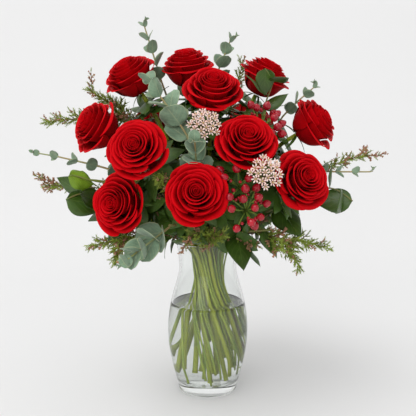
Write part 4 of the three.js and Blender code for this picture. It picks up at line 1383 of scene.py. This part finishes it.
class BOUQUET_OT_set_stage(bpy.types.Operator):
    """Set up the camera, the pale floor and the soft studio light"""

    bl_idname = "bouquet.set_stage"
    bl_label = "Set the Stage"

    def execute(self, context):
        s = context.scene.bouquet_stage
        scene = context.scene
        camera = bpy.data.objects.new("Camera", bpy.data.cameras.new("Camera"))
        camera.location = (0, -s.distance, s.camera_height)
        camera.rotation_euler = (math.pi / 2 - s.pitch, 0, 0)
        camera.data.lens = s.lens
        camera.data.sensor_width = 36
        camera.data.shift_x = 0.0007
        camera.data.clip_start = 0.01
        scene.collection.objects.link(camera)
        scene.camera = camera

        back, bend, reach = 1.7, 1.0, 4.0
        profile = [(-3.0, 0.0), (0.0, 0.0), (back - bend, 0.0)]
        for i in range(1, 13):
            turn = math.pi / 2 * i / 12
            profile.append((back - bend + bend * math.sin(turn), bend * (1 - math.cos(turn))))
        profile.append((back, 3.2))
        bm = bmesh.new()
        verts = [bm.verts.new((-reach, y, z)) for y, z in profile]
        edges = [bm.edges.new(pair) for pair in zip(verts, verts[1:])]
        out = bmesh.ops.extrude_edge_only(bm, edges=edges)["geom"]
        bmesh.ops.translate(bm, vec=(2 * reach, 0, 0), verts=[g for g in out if isinstance(g, bmesh.types.BMVert)])
        bmesh.ops.recalc_face_normals(bm, faces=bm.faces)
        for face in bm.faces:
            face.smooth = True
        mesh = bpy.data.meshes.new("Floor")
        bm.to_mesh(mesh)
        bm.free()
        floor = bpy.data.objects.new("Floor", mesh)
        scene.collection.objects.link(floor)
        paper, nodes, shader = start_material("Pale Paper", Roughness=0.9, Specular_IOR_Level=0.1)
        grain = nodes.add("TexNoise", {"Vector": nodes.place(), "Scale": 2.0})
        tone = nodes.mix(grain.outputs["Fac"], colour(s.floor), colour(s.floor, 0.985))
        nodes.set(shader.inputs["Base Color"], tone)
        # Painted light: the backdrop glows a little, more the higher it rises, to brighten its upper part where the
        # lamps reach it less.
        rise = nodes.add("SeparateXYZ", {0: nodes.place()}).outputs[2]
        painted_glow = nodes.mix(nodes.span(rise, 0.1, 1.3), (0.0, 0.0, 0.0, 1.0), (1.0, 1.0, 1.0, 1.0))
        nodes.set(shader.inputs["Emission Color"], painted_glow)
        shader.inputs["Emission Strength"].default_value = 0.13
        mesh.materials.append(paper)

        world = bpy.data.worlds.new("Studio")
        scene.world = world
        world.use_nodes = True
        sky = world.node_tree.nodes["Background"]
        sky.inputs["Color"].default_value = (1.0, 1.0, 1.0, 1.0)
        sky.inputs["Strength"].default_value = 0.78
        self.lamp(scene, "Key", "SUN", (-0.75, -0.6, 1.9), 0.95, 0.7)
        self.lamp(scene, "Front", "AREA", (-0.5, -1.6, 0.9), 9.0, 1.2)
        scene.view_settings.view_transform = "Standard"
        return {"FINISHED"}

    @staticmethod
    def lamp(scene, name, kind, place, power, size):
        """A soft lamp that looks at the bouquet."""
        data = bpy.data.lights.new(name, kind)
        data.energy = power
        if kind == "SUN":
            data.angle = size
        else:
            data.size = size
        lamp = bpy.data.objects.new(name, data)
        lamp.visible_glossy = kind == "SUN"
        lamp.location = place
        lamp.rotation_euler = (Vector((0, 0, 0.25)) - lamp.location).to_track_quat("-Z", "Y").to_euler()
        scene.collection.objects.link(lamp)


# ---------------------------------------------------------------- panel and registration

STEPS = [
    BOUQUET_OT_set_stage,
    BOUQUET_OT_blow_vase,
    BOUQUET_OT_pour_water,
    BOUQUET_OT_open_blooms,
    BOUQUET_OT_grow_rose_stems,
    BOUQUET_OT_grow_eucalyptus,
    BOUQUET_OT_grow_salal,
    BOUQUET_OT_grow_ivy,
    BOUQUET_OT_grow_heath,
    BOUQUET_OT_grow_hypericum,
    BOUQUET_OT_grow_rice_flower,
]
SETTINGS = {
    "bouquet_stage": StageSettings,
    "bouquet_vase": VaseSettings,
    "bouquet_roses": RoseSettings,
    "bouquet_greenery": GreenerySettings,
}


class BOUQUET_PT_panel(bpy.types.Panel):
    """Settings and steps of the bouquet"""

    bl_label = "Roses in a Vase"
    bl_idname = "BOUQUET_PT_panel"
    bl_space_type = "VIEW_3D"
    bl_region_type = "UI"
    bl_category = "Bouquet"

    def draw(self, context):
        for name, kind in SETTINGS.items():
            box = self.layout.box()
            box.label(text=kind.__doc__)
            for key in kind.__annotations__:
                box.prop(getattr(context.scene, name), key)
        for step in STEPS:
            self.layout.operator(step.bl_idname)


CLASSES = [*SETTINGS.values(), *STEPS, BOUQUET_PT_panel]


def register():
    for one in CLASSES:
        bpy.utils.register_class(one)
    for name, kind in SETTINGS.items():
        setattr(bpy.types.Scene, name, bpy.props.PointerProperty(type=kind))


def unregister():
    for name in SETTINGS:
        delattr(bpy.types.Scene, name)
    for one in reversed(CLASSES):
        bpy.utils.unregister_class(one)


def main():
    """Builds the whole bouquet."""
    register()
    for step in STEPS:
        area, name = step.bl_idname.split(".")
        getattr(getattr(bpy.ops, area), name)()


if __name__ == "__main__":
    main()
